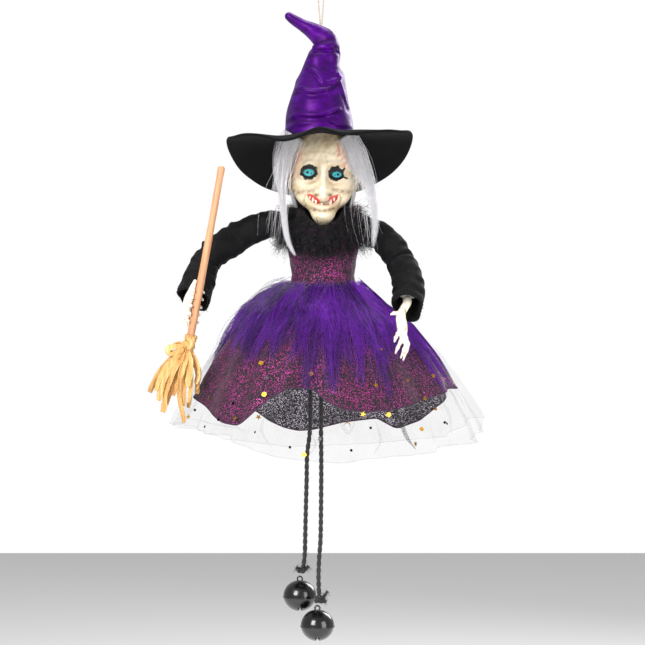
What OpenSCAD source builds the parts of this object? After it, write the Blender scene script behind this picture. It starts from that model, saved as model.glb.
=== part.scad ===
// Hanging witch ornament with a pointed hat, a glitter dress, a broom and jingle bells on cord legs.
// Millimetres. The origin is the inside top of the hanger loop, +Z is up and the face looks along -Y.
// "right" and "left" are the witch's own, so her right arm is on the -X side.

/* [Hat] */
// Radius of the felt brim before it is bent
brim_r = 68; // [62:1:69]
// Radius of the hole in the brim that the head fills
brim_hole_r = 24; // [23.6:0.2:24.6]
// Thickness of the brim's felt
felt_t = 2; // [1.4:0.2:2.4]
// Height of the brim's flat front part, below the hanger
brim_z = -113.5; // [-114:0.5:-113]
// Thickness of the hat's velvet
velvet_t = 1; // [0.6:0.1:1.2]

/* [Head] */
// Wall thickness of the moulded head
head_wall = 2; // [1.4:0.1:2.4]
// How far the tip of the nose stands out of the face
nose_out = 9; // [6:0.5:10]
// Radius of the wooden dowel through the neck
dowel_r = 3; // [2:0.5:3]

/* [Dress] */
// Thickness of the bodice and skirt cloth
cloth_t = 0.8; // [0.5:0.1:1]
// Half the width of the skirt at its hem
skirt_half_w = 93; // [86:1:95]
// Depth of the dress divided by its width
dress_flat = 0.76; // [0.74:0.01:0.8]
// Space between the skirt and the tulle over it
tulle_gap = 2; // [1.5:0.1:2.5]
// Length of the fur at the waist, measured straight out
fur_t = 6; // [3:0.5:7]

/* [Arms] */
// Radius of a stuffed sleeve
sleeve_r = 9.6; // [8.5:0.1:9.8]
// Radius of the bending wire in each arm
wire_r = 0.8; // [0.5:0.1:1]

/* [Broom] */
// Radius of the wooden handle
handle_r = 2.6; // [2:0.1:2.7]
// Width of one strip of the bristles
strip_w = 5; // [4:0.5:6]

/* [Legs] */
// Radius of a leg's braided cord
cord_r = 1.7; // [1.4:0.1:1.9]
// Largest radius of a bell, without its seam
bell_r = 12.2; // [11.5:0.1:12.3]
// Thickness of the bell's sheet metal
bell_wall = 0.8; // [0.6:0.1:1]
// Radius of the loose ball in a bell
pellet_r = 3; // [2.5:0.1:3.5]

/* [Hanger] */
// Radius of the hanging thread
thread_r = 0.55; // [0.4:0.05:0.6]

/* [Hidden] */

// Play between two pieces that touch
play = 0.3;
$fn = 48;

// Stations below are [x, y, z, radius]: a centre line's points with the radius there.

// Both strands of the hanger, up from the knot, over the top and down again
loop_points = [[-0.7, 0, -42.5, thread_r], [-0.7, 0, -36, thread_r], [-0.7, 0, -31, thread_r],
               [-1.3, 0, -23, thread_r], [-1.9, 0, -15, thread_r], [-2.4, 0, -8, thread_r],
               [-2.5, 0, -3.2, thread_r], [-1.8, 0, -1.4, thread_r], [0, 0, -0.55, thread_r],
               [1.8, 0, -1.4, thread_r], [2.5, 0, -3.2, thread_r], [2.4, 0, -8, thread_r],
               [1.9, 0, -15, thread_r], [1.3, 0, -23, thread_r], [0.7, 0, -31, thread_r],
               [0.7, 0, -36, thread_r], [0.7, 0, -42.5, thread_r]];
hanger_hole_r = 1.7;
cone_sides = 44;

// The cone of the hat from the brim to the bend, and its tip beyond the bend
cone_points = [[-2, 0, -113, 25.4], [-1.5, 0, -95.5, 23.2], [0, 0, -77, 18.4], [1, 0, -63, 13.4],
               [4, 0, -52, 9.8], [3.5, 0, -45, 8.4], [-2, 0, -40.5, 6.8], [-6.5, 0, -37.5, 5.9]];
tip_points = [[-11, 0, -35, 4.9], [-14.5, 0, -33, 4.3], [-19, 0, -30.2, 3.5],
              [-22.5, 0, -27.6, 2.8], [-24.5, 0, -26, 2]];

// The brim is flat in front and bends down behind, over a soft fold
fold_soft = 12;
fold_down = 0.6;
fold_short = 0.2;
// Rise towards the witch's left
brim_roll = 0.025;
// Small upward pinch in the middle of the front
pinch_up = 5;
pinch_w = 11;

// The head by height: half its width, the front of the face and the back of the skull
body_x = 1.5;
head_half_w = [[-181, 3.5], [-178, 7.5], [-172, 10.5], [-165, 16.5], [-158, 21.5], [-150, 23.5],
               [-143, 24], [-130, 22.8], [-120, 20], [-112, 16.5], [-105, 10.5], [-101, 3]];
head_front = [[-181, 18], [-178, 22], [-172, 24], [-165, 22.5], [-158, 22.5], [-150, 22],
              [-143, 21.5], [-130, 23], [-120, 21], [-112, 17], [-105, 11], [-101, 4]];
head_back = [[-181, -12], [-178, -10], [-172, -5], [-165, 4], [-158, 11], [-150, 15],
             [-143, 17], [-130, 17], [-120, 13.5], [-112, 10.5], [-105, 5.5], [-101, 1]];
nose_shape = [[-168, 0], [-163.5, 0.6], [-160, 1], [-152, 0.65], [-145, 0.35], [-138, 0]];
nose_half_w = 4.5;
eye_x = 10;
eye_z = -143;
eye_depth = 2.5;

right_lock = [[-20, -15, -122, 3.2], [-26, -14, -132, 4], [-28.5, -12, -145, 4], [-28, -16, -160, 3.6],
              [-27, -22, -175, 3], [-25, -27, -190, 2.6], [-19, -29, -203, 1.5]];
left_lock = [[21.5, -17, -122.5, 3], [28, -14, -133, 4.4], [32, -14, -144, 4.6], [35.5, -17, -155, 4.2],
             [38, -21, -170, 3.6], [39.5, -22, -182, 3.2], [38, -22, -197, 1.8]];
back_hair = [[1.5, 21.5, -139, 15], [1.5, 22, -150, 18], [1.5, 22.5, -165, 19], [1.5, 26.5, -183, 18],
             [1.5, 28, -200, 12]];
lock_flat = 0.4;
back_hair_flat = 0.13;

// Half the width of the bodice by height
bodice_half_w = [[-226, 24.5], [-217, 22.5], [-208, 24], [-196, 26.5], [-190, 25.5], [-186, 21],
                 [-183, 12]];
bodice_low = -225;
bodice_high = -183;
filling_low = -239;

// Half the width of the skirt by height, before its pleats, and the middle of its hem
skirt_top = -228;
skirt_hem = -298;
tulle_top = -226;
skirt_shape = [[-360, 1.2], [-330, 1.14], [-318, 1.09], [-300, 1], [-276, 0.86], [-253, 0.7],
               [-240, 0.53], [-230, 0.36], [-226, 0.265]];
skirt_shift = 4;
pleats = 13;
pleat_depth = 0.025;
back_drop = 28;
front_drop = 9;
front_wave_at = 262;
tulle_drop = 20;
tulle_swag = 30;

// Arms from shoulder to elbow and from elbow to cuff
right_upper_arm = [[-39, 0, -181, 8.8], [-52, -1, -185.5, 9.6], [-65, -2.5, -192.5, 9.8],
                   [-75, -4, -199, 9.6]];
right_elbow = [-83, -6, -206, 9.4];
right_forearm = [right_elbow, [-86.5, -9, -214, 9.8], [-90, -14, -223.5, 10.6], [-92.8, -20, -233, 11.4]];
left_upper_arm = [[40, 0, -186.5, 8.8], [46, -2, -190.5, 9.5], [52, -4.5, -197.5, 9.7]];
left_elbow = [58.5, -10, -208.5, 9.6];
left_forearm = [left_elbow, [62.5, -20, -218, 9.8], [63.5, -30, -229, 10], [61.7, -39, -239, 10]];
sleeve_scale = sleeve_r / 9.6;

// The broom's handle
broom_top = [-71.4, -33, -139.4];
broom_end = [-93.6, -33, -261.7];
broom_tilt = atan2(broom_top.x - broom_end.x, broom_top.z - broom_end.z);
handle_len = norm(broom_top - broom_end);
grip_r = 4.6;
finger_r = 1.5;

// Cord legs: hips, knees and ankles
hip_z = -243;
leg_top_z = -248.6;
knee_z = -392;
right_leg = [[-8, 0, leg_top_z, cord_r], [-8, 0, -275, cord_r], [-8, 0, -305, cord_r],
             [-8.2, 0.5, -331, cord_r], [-10.2, 1.5, -349, cord_r], [-10.6, 2.5, -368, cord_r],
             [-11.2, 3, knee_z + cord_r + play, cord_r]];
right_shin = [[-11.2, 3, knee_z, cord_r], [-11.6, 4, -408, cord_r], [-12, 5.5, -423, cord_r],
              [-13.2, 6.8, -432.5, cord_r]];
left_leg = [[0, 0, leg_top_z, cord_r], [0, 0, -275, cord_r], [0, 0, -305, cord_r],
            [0, -0.5, -331, cord_r], [0.2, -2, -355, cord_r], [0, -3, knee_z + cord_r + play, cord_r]];
left_shin = [[0, -3, knee_z, cord_r], [-0.4, -4.5, -411, cord_r], [-1.4, -5.5, -425, cord_r],
             [-1.8, -6.5, -438, cord_r], [-1.4, -7, -452, cord_r]];
right_bell_at = [-15.6, 7.6, -453.6];
left_bell_at = [-2.6, -7.4, -473.2];
right_knot_at = [-14, 7.2, -434.6];
left_knot_at = [-1.6, -7.2, -454.4];
// Height of the loop's middle above the top of its bell
loop_up = 1;
// A bell is a little lower than it is wide
bell_high = 0.95;
slot_w = 1.8;
slot_reach = 8;

function unit(v) = v / norm(v);
function spot(s) = [s[0], s[1], s[2]];

// Point at fraction t of the stretch from b to c, on a smooth curve through a, b, c and d
function between(a, b, c, d, t) =
  0.5 * (2 * b + (c - a) * t + (2 * a - 5 * b + 4 * c - d) * t * t + (3 * b - a - 3 * c + d) * t * t * t);

// Smooth curve through the stations p, with k steps from each one to the next
function curve(p, k) = let (e = len(p) - 1) [
  for (i = [0:e - 1], s = [0:k - 1])
    between(p[max(i - 1, 0)], p[i], p[i + 1], p[min(i + 2, e)], s / k),
  p[e]
];

// Direction of the line through the stations p at station i
function heading(p, i) = unit(spot(p[min(i + 1, len(p) - 1)]) - spot(p[max(i - 1, 0)]));

// Oval of n points across the direction d: half-width a, and half-depth b along Y
function oval(c, d, a, b, n) =
  let (v = unit([0, 1, 0] - d[1] * d), u = cross(v, d))
  [for (k = [0:n - 1]) c + a * cos(360 * k / n) * u + b * sin(360 * k / n) * v];

// Ovals along the stations p, each shrunk by inset
function ovals(p, flat, n, inset = 0) =
  [for (i = [0:len(p) - 1]) oval(spot(p[i]), heading(p, i), p[i][3] - inset, flat * p[i][3] - inset, n)];

function backwards(list) = [for (i = [len(list) - 1:-1:0]) list[i]];

// One solid through a stack of rings of equal length, closed by flat ends or joined end to start
module skin(rings, joined = false) {
  n = len(rings[0]);
  m = len(rings);
  points = [for (r = rings) each r];
  sides = [for (i = [0:m - (joined ? 1 : 2)], j = [0:n - 1])
    let (a = i * n + j, b = i * n + (j + 1) % n, up = ((i + 1) % m - i) * n)
    each [[a, a + up, b + up], [a, b + up, b]]];
  ends = joined ? [] : [[for (j = [0:n - 1]) j], [for (j = [n - 1:-1:0]) (m - 1) * n + j]];
  polyhedron(points, concat(sides, ends), convexity = 8);
}

// Solid rod along the stations p, with a rounded start and end
module rod(p, flat = 1, n = 12, round_start = true, round_end = true) {
  e = len(p) - 1;
  d0 = heading(p, 0);
  d1 = heading(p, e);
  caps0 = round_start ? [for (a = [70, 35]) concat(spot(p[0]) - d0 * p[0][3] * sin(a), p[0][3] * cos(a))]
                      : [];
  caps1 = round_end ? [for (a = [35, 70]) concat(spot(p[e]) + d1 * p[e][3] * sin(a), p[e][3] * cos(a))]
                    : [];
  skin(ovals(concat(caps0, p, caps1), flat, n));
}

// Open tube along the stations p, with walls of thickness t
module tube(p, t, n = 20) {
  skin(concat(ovals(p, 1, n), backwards(ovals(p, 1, n, t))), joined = true);
}

// ---------- Hanger ----------

module hanger_loop() {
  color("tan") skin(ovals(loop_points, 1, 8));
}

module hanger_knot() {
  color("tan") translate([0, 0, -43.4]) sphere(r = 2);
}

// ---------- Hat ----------

// A point of the flat felt, moved to where the bent brim has it
function on_brim(r, a, up) =
  let (x = r * cos(a), s = r * sin(a), g = (s + sqrt(s * s + fold_soft * fold_soft)) / 2,
       pinch = pinch_up * exp(-(x * x) / (pinch_w * pinch_w)) * max(0, -s) / brim_r)
  [x - 1, s - fold_short * g, brim_z - fold_down * g + brim_roll * x + pinch + up];

function brim_ring(r, up, n) = [for (k = [0:n - 1]) on_brim(r, 360 * k / n, up)];

module hat_brim() {
  steps = [for (i = [0:4]) brim_hole_r + (brim_r - brim_hole_r) * i / 4];
  color([0.06, 0.06, 0.07])
    skin(concat([for (r = steps) brim_ring(r, -felt_t, 60)],
                [for (r = backwards(steps)) brim_ring(r, 0, 60)]), joined = true);
}

// Foot of the cone, lying on the bent brim
function cone_foot(r) = brim_ring(r, 0.25, cone_sides);

module hat_cone() {
  body = [for (i = [2:len(curve(cone_points, 2)) - 1]) curve(cone_points, 2)[i]];
  color([0.3, 0.04, 0.5]) difference() {
    skin(concat([cone_foot(25.4)], ovals(body, 1, cone_sides),
                backwards(ovals(body, 1, cone_sides, velvet_t)), [cone_foot(25.4 - velvet_t)]), joined = true);
    translate([0, 0, -40]) cylinder(h = 12, r = hanger_hole_r);
  }
}

module hat_tip() {
  color([0.3, 0.04, 0.5]) rod(curve(tip_points, 2), n = 20);
}

module hat_stuffing() {
  gap = velvet_t + play;
  color("white") rod([[-1.2, 0, -92, 22.2 - gap], [-0.4, 0, -82, 19.4 - gap], [0.4, 0, -70, 15.6 - gap],
                      [0.9, 0, -64, 12.8 - gap]], n = 24, round_start = false, round_end = false);
}

// ---------- Head and hair ----------

// One level of the head at height z, shrunk by inset, with n points
function head_level(z, inset, n) =
  let (w = lookup(z, head_half_w) - inset, front = -lookup(z, head_front) + inset,
       back = lookup(z, head_back) - inset, mid = (front + back) / 2, half = (back - front) / 2)
  [for (k = [0:n - 1])
    let (a = 360 * k / n,
         x = w * cos(a),
         face = max(0, -sin(a)),
         nose = nose_out * lookup(z, nose_shape) * exp(-pow(x / nose_half_w, 2)),
         socket = eye_depth * (exp(-pow((x - eye_x) / 5, 2)) + exp(-pow((x + eye_x) / 5, 2)))
                  * exp(-pow((z - eye_z) / 5, 2)))
    [body_x + x, mid + half * sin(a) - face * (nose - socket), z]];

module head() {
  outer = [-181, -179.5, each [for (z = [-176:3:-104]) z], -101];
  inner = [-160, each [for (z = [-154:7:-112]) z], -108];
  color([0.93, 0.88, 0.76]) difference() {
    skin([for (z = outer) head_level(z, 0, 36)]);
    skin([for (z = inner) head_level(z, head_wall, 24)]);
    translate([body_x, 0, -178]) cylinder(h = 22, r = dowel_r + 0.1);
  }
}

module hair_right() {
  color("white") rod(curve(right_lock, 2), flat = lock_flat, n = 12);
}

module hair_left() {
  color("white") rod(curve(left_lock, 2), flat = lock_flat, n = 12);
}

module hair_back() {
  color("white") skin(ovals(curve(back_hair, 2), back_hair_flat, 16));
}

module neck_dowel() {
  color("burlywood") translate([body_x, 0, -214]) cylinder(h = 62, r = dowel_r);
}

// ---------- Dress ----------

// One level of the bodice at height z, grown by out
function bodice_level(z, out) =
  let (w = lookup(z, bodice_half_w))
  [for (a = [0:10:350]) [body_x + (w + out) * cos(a), (dress_flat * w + out) * sin(a), z]];

module bodice() {
  levels = [bodice_low, -217, -208, -202, -196, -190, -188, -186, -184.5, bodice_high];
  color([0.2, 0.03, 0.18])
    skin(concat([for (z = levels) bodice_level(z, 0)],
                [for (z = backwards(levels)) bodice_level(z, -cloth_t)]), joined = true);
}

module torso_filling() {
  gap = cloth_t + play;
  levels = [filling_low, -234, -227, -224, -217, -208, -196, -190, -186, -184];
  color("white") difference() {
    skin([for (z = levels) bodice_level(z, z < -226 ? -gap - 3 : -gap)]);
    translate([body_x, 0, -214.3]) cylinder(h = 40, r = dowel_r + 0.1);
  }
}

// Collar ring at fraction s of the way down from the neck: it lies on the bodice and is lower in front
function collar_ring(s, out) =
  [for (a = [0:10:350])
    let (low = 188 + 12 * max(0, -sin(a)) + 4 * max(0, sin(a)),
         z = -183.6 - (low - 183.6) * s,
         w = lookup(z, bodice_half_w),
         ruffle = 0.6 * cos(12 * a))
    [body_x + (w + out + ruffle) * cos(a), (dress_flat * w + out + ruffle) * sin(a), z]];

module collar_trim() {
  steps = [1, 0.8, 0.6, 0.4, 0.2, 0];
  color([0.08, 0.06, 0.09])
    skin(concat([for (s = steps) collar_ring(s, 3.4)],
                [for (s = backwards(steps)) collar_ring(s, 1)]), joined = true);
}

module waist_band() {
  color("black") skin(concat([for (z = [-232, -227.5]) bodice_level(z, -0.8)],
                             [for (z = [-227.5, -232]) bodice_level(z, -0.8 - 1)]), joined = true);
}

// How far the skirt's hem hangs below its highest point, at the angle a round the skirt
function hem_drop(a) = sin(a) > 0 ? back_drop * sin(a)
                     : -front_drop * sin(a) * (1 - cos(3 * (a - front_wave_at)));

// Skirt ring at fraction s from the waist down, pushed out by out, with its hem lowered by drop(a)
function skirt_ring(top, s, out, long, swag) =
  [for (a = [0:6:354])
    let (hem = skirt_hem - hem_drop(a) * (1 - swag) - long - tulle_swag * swag * abs(sin(a)),
         z = top + (hem - top) * s,
         t = lookup(z, skirt_shape),
         w = t * skirt_half_w * (1 + pleat_depth * min(1, 2 * s) * cos(pleats * a)),
         shift = body_x + (skirt_shift - body_x) * s)
    [shift + (w + out) * cos(a), (dress_flat * w + out) * sin(a), z]];

skirt_steps = [1, 0.82, 0.64, 0.46, 0.3, 0.16, 0.05, 0];

module skirt() {
  color([0.16, 0.03, 0.16])
    skin(concat([for (s = skirt_steps) skirt_ring(skirt_top, s, cloth_t, 0, 0)],
                [for (s = backwards(skirt_steps)) skirt_ring(skirt_top, s, 0, 0, 0)]), joined = true);
}

module skirt_tulle() {
  out = cloth_t + tulle_gap;
  color([0.75, 0.75, 0.78, 0.5])
    skin(concat([for (s = skirt_steps) skirt_ring(tulle_top, s, out + 0.5, tulle_drop, 1)],
                [for (s = backwards(skirt_steps)) skirt_ring(tulle_top, s, out, tulle_drop, 1)]),
         joined = true);
}

// Fur ring at height z, as far out as the tulle and a little more
function fur_ring(z, out) =
  let (w = lookup(z, skirt_shape) * skirt_half_w, grown = w + cloth_t + tulle_gap + 1 + out)
  [for (a = [0:10:350])
    [body_x + grown * cos(a), (grown - (1 - dress_flat) * w) * sin(a), z + 2.4]];

module waist_fur() {
  levels = [-247, -243, -239, -235, -231, -227];
  color([0.3, 0.08, 0.6])
    skin(concat([for (z = levels) fur_ring(z, (0.45 + 0.55 * sin(180 * (z + 249) / 24)) * fur_t)],
                [for (z = backwards(levels)) fur_ring(z, 0.6)]), joined = true);
}

// ---------- Arms ----------

// The stations p with their radii scaled by k and then lessened by t
function fitted(p, k, t) = [for (s = p) [s[0], s[1], s[2], s[3] * k - t]];

// The stations p with another radius, from station first to station last
function thin(p, r) = [for (s = p) [s[0], s[1], s[2], r]];

module sleeve(p) {
  color([0.04, 0.04, 0.05]) tube(curve(fitted(p, sleeve_scale, 0), 3), 1);
}

// Stuffing inside a sleeve, with a hole for the wire, ending before the sleeve's far end
module stuffing(p, cut) {
  line = curve(fitted(p, sleeve_scale, 1 + play), 3);
  kept = [for (i = [0:len(line) - 1 - cut]) line[i]];
  color("white") skin(concat(ovals(kept, 1, 16), backwards(ovals(thin(kept, wire_r + 0.2), 1, 16))),
                      joined = true);
}

module wire(p, cut) {
  line = thin(curve(p, 3), wire_r);
  color("silver") skin(ovals([for (i = [0:len(line) - 1 - cut]) line[i]], 1, 8));
}

module right_upper_sleeve() {
  sleeve(right_upper_arm);
}

module right_upper_stuffing() {
  stuffing(right_upper_arm, 0);
}

module right_upper_wire() {
  wire(right_upper_arm, 0);
}

module right_lower_sleeve() {
  sleeve(right_forearm);
}

module right_lower_stuffing() {
  stuffing(right_forearm, 3);
}

module right_lower_wire() {
  wire(right_forearm, 3);
}

module left_upper_sleeve() {
  sleeve(left_upper_arm);
}

module left_upper_stuffing() {
  stuffing(left_upper_arm, 0);
}

module left_upper_wire() {
  wire(left_upper_arm, 0);
}

module left_lower_sleeve() {
  sleeve(left_forearm);
}

module left_lower_stuffing() {
  stuffing(left_forearm, 3);
}

module left_lower_wire() {
  wire(left_forearm, 3);
}

// Children placed with the foot of the broom's handle at the origin and its axis along Z
module along_broom() {
  translate(broom_end) rotate([0, broom_tilt, 0]) children();
}

// One finger curled behind the handle at height z, from the palm round to its tip
module curled_finger(z) {
  rod([[-6, 0.5, z + 0.6, finger_r + 0.3],
       each [for (a = [155, 122, 90, 55, 20])
             [grip_r * cos(a), grip_r * sin(a), z + (a - 160) / 80, finger_r]],
       [4.4, -1, z - 2, finger_r - 0.4]], n = 8);
}

module right_hand() {
  color([0.93, 0.9, 0.82]) along_broom() {
    // Wrist, from inside the cuff, and the palm along the handle
    rod(curve([[-5.4, 12.5, 30, 3.2], [-6, 9.5, 24, 2.9], [-6.2, 4.5, 18.5, 2.4], [-6.1, 0, 16, 2]], 2),
        flat = 1.3, n = 10);
    rod([[-5.8, -0.3, 8, 1.6], [-6.2, -0.4, 15, 2.1], [-6.2, -0.4, 25, 2.1], [-6, -0.3, 33, 1.8]],
        flat = 1.2, n = 10);
    for (z = [14, 20, 26, 32]) curled_finger(z);
    // Thumb, up along the handle
    rod([[-6, -0.5, 33, 1.8], [-5.2, -2, 36.5, 1.6], [-3.6, -3.6, 39.5, 1.2]], n = 8);
  }
}

module left_hand() {
  color([0.93, 0.9, 0.82]) {
    // Wrist and palm
    rod(curve([[62, -37.4, -237.4, 3.4], [60.4, -40.8, -241.2, 3.5], [58, -44, -247, 4],
               [57.8, -47.5, -255, 4.6], [58.2, -50.5, -261, 3.8]], 2), flat = 0.55, n = 12);
    rod([[56, -43.8, -245.6, 2], [53, -45.4, -245.4, 1.6], [50.2, -46.6, -245.6, 1.2]], n = 8);
    rod([[55.6, -49.8, -257.5, 1.7], [53.6, -51.6, -261, 1.5], [52.2, -52.4, -265.1, 1.1]], n = 8);
    rod([[57.4, -50.6, -261, 1.7], [56, -52.6, -266, 1.5], [53, -53.6, -273, 1.1]], n = 8);
    rod([[58.8, -50.8, -261.5, 1.6], [59.6, -53.2, -268, 1.5], [56.8, -54.6, -276.2, 1]], n = 8);
    rod([[60, -51, -261, 1.6], [61.4, -53.8, -268, 1.5], [58.8, -55.6, -277.8, 1]], n = 8);
  }
}

// ---------- Broom ----------

module broom_handle() {
  color("burlywood") along_broom() translate([0, 0, -4]) cylinder(h = handle_len + 4, r = handle_r);
}

// One flat strip of the bristles, out to the point [x, y, z] below the handle
module strip(x, y, z) {
  rod([[x * 0.03, y * 0.03, -6, 1.6], [x * 0.2, y * 0.35, -14, strip_w * 0.42],
       [x * 0.55, y * 0.75, z * 0.6, strip_w * 0.5], [x, y, z, strip_w * 0.34]], flat = 0.28, n = 8);
}

module broom_bristles() {
  color([0.9, 0.72, 0.45]) along_broom()
    for (s = [[-21.4, 3, -46], [-13.6, -4, -49], [-9, 4, -42], [-4.4, -5, -55.3], [2, 3, -50],
              [6.9, -4, -61.3], [7.2, 3, -51], [11.2, -1, -36.4]])
      strip(s[0], s[1], s[2]);
}

module broom_binding() {
  color([0.88, 0.7, 0.42]) along_broom() {
    translate([0, 0, -8.5]) rotate_extrude() translate([handle_r + 0.6, 0]) square([2.2, 8]);
    // Bow loop and tail
    rod([[-4, -2.5, -8, 1.2], [-7.5, -4, -8, 1.6], [-12, -4, -11, 1.6], [-9.5, -4.4, -15, 1.4],
         [-4.5, -3.4, -10, 1.2]], flat = 0.5, n = 8);
  }
}

// ---------- Legs and bells ----------

module hip_knot() {
  color([0.1, 0.1, 0.1]) translate([-4, 0, hip_z]) rotate([0, 90, 0]) {
    translate([0, 0, -5]) cylinder(h = 10, r = 3);
    for (z = [-5, 5]) translate([0, 0, z]) sphere(r = 3);
  }
}

module leg_cord_upper(p) {
  color([0.1, 0.1, 0.1]) rod(p, n = 8, round_end = false);
}

module leg_cord_lower(p) {
  color([0.1, 0.1, 0.1]) rod(p, n = 8, round_end = false);
}

module ankle_knot(at, r) {
  color([0.1, 0.1, 0.1]) translate(at) {
    sphere(r = r);
    translate([r * 0.5, -0.4, r * 0.5]) sphere(r = r * 0.8);
  }
}

// Outline of half a bell, from the outer radius r down to its wall
module bell_half_outline(r, up) {
  intersection() {
    translate([0, up ? 0.05 : -r]) square([r + 1, r - 0.05]);
    difference() {
      scale([1, bell_high]) circle(r = r, $fn = 64);
      scale([1, bell_high]) circle(r = r - bell_wall, $fn = 64);
    }
  }
}

module bell_loop(at) {
  color([0.05, 0.05, 0.05]) translate(at + [0, 0, bell_r * bell_high + loop_up])
    rotate([90, 0, 0]) rotate_extrude() translate([1.8, 0]) circle(r = 0.6);
}

module bell_top(at) {
  color([0.05, 0.05, 0.05]) translate(at) rotate_extrude() bell_half_outline(bell_r, true);
}

module bell_bottom(at) {
  color([0.05, 0.05, 0.05]) translate(at) difference() {
    rotate_extrude() {
      bell_half_outline(bell_r, false);
      // Rolled seam round the middle
      translate([bell_r - 0.3, -1]) square([0.7, 0.9]);
    }
    for (a = [0, 90]) rotate([0, 0, a]) {
      translate([-slot_reach, -slot_w / 2, -bell_r - 1]) cube([2 * slot_reach, slot_w, bell_r]);
      for (x = [-slot_reach, slot_reach]) translate([x, 0, -bell_r - 1]) cylinder(h = bell_r, r = 1.6);
    }
  }
}

module bell_pellet(at) {
  color("silver") translate(at + [0, 0, -(bell_r - bell_wall) * bell_high + pellet_r + 0.3])
    sphere(r = pellet_r);
}

module right_leg_cord_upper() {
  leg_cord_upper(right_leg);
}

module right_leg_cord_lower() {
  leg_cord_lower(right_shin);
}

module right_ankle_knot() {
  ankle_knot(right_knot_at, 2.6);
}

module right_bell_loop() {
  bell_loop(right_bell_at);
}

module right_bell_top() {
  bell_top(right_bell_at);
}

module right_bell_bottom() {
  bell_bottom(right_bell_at);
}

module right_bell_pellet() {
  bell_pellet(right_bell_at);
}

module left_leg_cord_upper() {
  leg_cord_upper(left_leg);
}

module left_leg_cord_lower() {
  leg_cord_lower(left_shin);
}

module left_ankle_knot() {
  ankle_knot(left_knot_at, 3);
}

module left_bell_loop() {
  bell_loop(left_bell_at);
}

module left_bell_top() {
  bell_top(left_bell_at);
}

module left_bell_bottom() {
  bell_bottom(left_bell_at);
}

module left_bell_pellet() {
  bell_pellet(left_bell_at);
}

hanger_loop();
hanger_knot();
hat_cone();
hat_tip();
hat_stuffing();
hat_brim();
head();
hair_right();
hair_left();
hair_back();
neck_dowel();
torso_filling();
bodice();
collar_trim();
waist_band();
waist_fur();
skirt();
skirt_tulle();
right_upper_sleeve();
right_upper_stuffing();
right_upper_wire();
right_lower_sleeve();
right_lower_stuffing();
right_lower_wire();
right_hand();
left_upper_sleeve();
left_upper_stuffing();
left_upper_wire();
left_lower_sleeve();
left_lower_stuffing();
left_lower_wire();
left_hand();
broom_handle();
broom_bristles();
broom_binding();
hip_knot();
right_leg_cord_upper();
right_leg_cord_lower();
right_ankle_knot();
right_bell_loop();
right_bell_top();
right_bell_bottom();
right_bell_pellet();
left_leg_cord_upper();
left_leg_cord_lower();
left_ankle_knot();
left_bell_loop();
left_bell_top();
left_bell_bottom();
left_bell_pellet();
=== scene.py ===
"""Looks of the hanging witch ornament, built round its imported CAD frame. Metres; sizes below are in mm."""
import math

import bpy
import numpy as np
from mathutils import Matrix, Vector


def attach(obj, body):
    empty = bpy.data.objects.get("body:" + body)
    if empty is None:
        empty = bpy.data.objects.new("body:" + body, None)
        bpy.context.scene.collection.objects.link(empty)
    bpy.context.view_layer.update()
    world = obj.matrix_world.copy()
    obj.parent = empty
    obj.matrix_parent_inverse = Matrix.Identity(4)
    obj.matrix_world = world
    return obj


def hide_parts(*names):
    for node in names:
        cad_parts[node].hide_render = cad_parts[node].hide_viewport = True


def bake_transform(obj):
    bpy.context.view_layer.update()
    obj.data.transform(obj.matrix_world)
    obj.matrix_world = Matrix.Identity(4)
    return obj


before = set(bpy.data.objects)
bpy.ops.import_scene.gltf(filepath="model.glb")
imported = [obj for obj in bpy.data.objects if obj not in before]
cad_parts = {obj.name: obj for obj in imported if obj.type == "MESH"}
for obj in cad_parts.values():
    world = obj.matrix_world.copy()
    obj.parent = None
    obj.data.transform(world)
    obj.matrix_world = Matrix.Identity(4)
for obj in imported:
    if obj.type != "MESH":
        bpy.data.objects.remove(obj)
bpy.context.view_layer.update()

MM = 0.001
TAU = 2 * math.pi


# ---------- Small maths ----------

def curve(points, per):
    """Smooth curve through the rows of points, with per steps from each to the next."""
    p = np.asarray(points, float)
    q = np.vstack([2 * p[0] - p[1], p, 2 * p[-1] - p[-2]])
    rows = []
    for i in range(len(p) - 1):
        a, b, c, d = q[i:i + 4]
        for t in np.arange(per) / per:
            rows.append(0.5 * (2 * b + (c - a) * t + (2 * a - 5 * b + 4 * c - d) * t * t
                               + (3 * b - a - 3 * c + d) * t ** 3))
    rows.append(p[-1])
    return np.array(rows)


def even(path, step):
    """The path with points a given step apart. Columns after the third go along."""
    path = np.asarray(path, float)
    s = np.concatenate([[0], np.cumsum(np.linalg.norm(np.diff(path[:, :3], axis=0), axis=1))])
    at = np.linspace(0, s[-1], max(2, int(round(s[-1] / step)) + 1))
    return np.stack([np.interp(at, s, path[:, k]) for k in range(path.shape[1])], axis=1)


def headings(path):
    d = np.gradient(np.asarray(path, float)[:, :3], axis=0)
    return d / np.linalg.norm(d, axis=1, keepdims=True)


def side_vectors(path):
    """Two vectors across the path at each of its points, carried along without twist."""
    d = headings(path)
    start = np.cross(d[0], [0, 1, 0]) if abs(d[0][1]) < 0.9 else np.cross(d[0], [1, 0, 0])
    u = [start / np.linalg.norm(start)]
    for i in range(1, len(d)):
        w = u[-1] - d[i] * np.dot(u[-1], d[i])
        u.append(w / np.linalg.norm(w))
    u = np.array(u)
    return u, np.cross(d, u)


def wobble(p, size, seed, octaves=3):
    """Smooth noise between about -1 and 1 at the points p, with features of that size."""
    rng = np.random.default_rng(seed)
    total = np.zeros(p.shape[:-1])
    for k in range(octaves):
        for _ in range(5):
            d = rng.normal(size=p.shape[-1])
            d /= np.linalg.norm(d)
            total += np.sin(p @ d * TAU / size * 1.9 ** k + rng.uniform(0, TAU)) * 0.5 ** k / 2.6
    return total


def bump(x, middle, width):
    return np.exp(-((x - middle) / width) ** 2)


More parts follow.
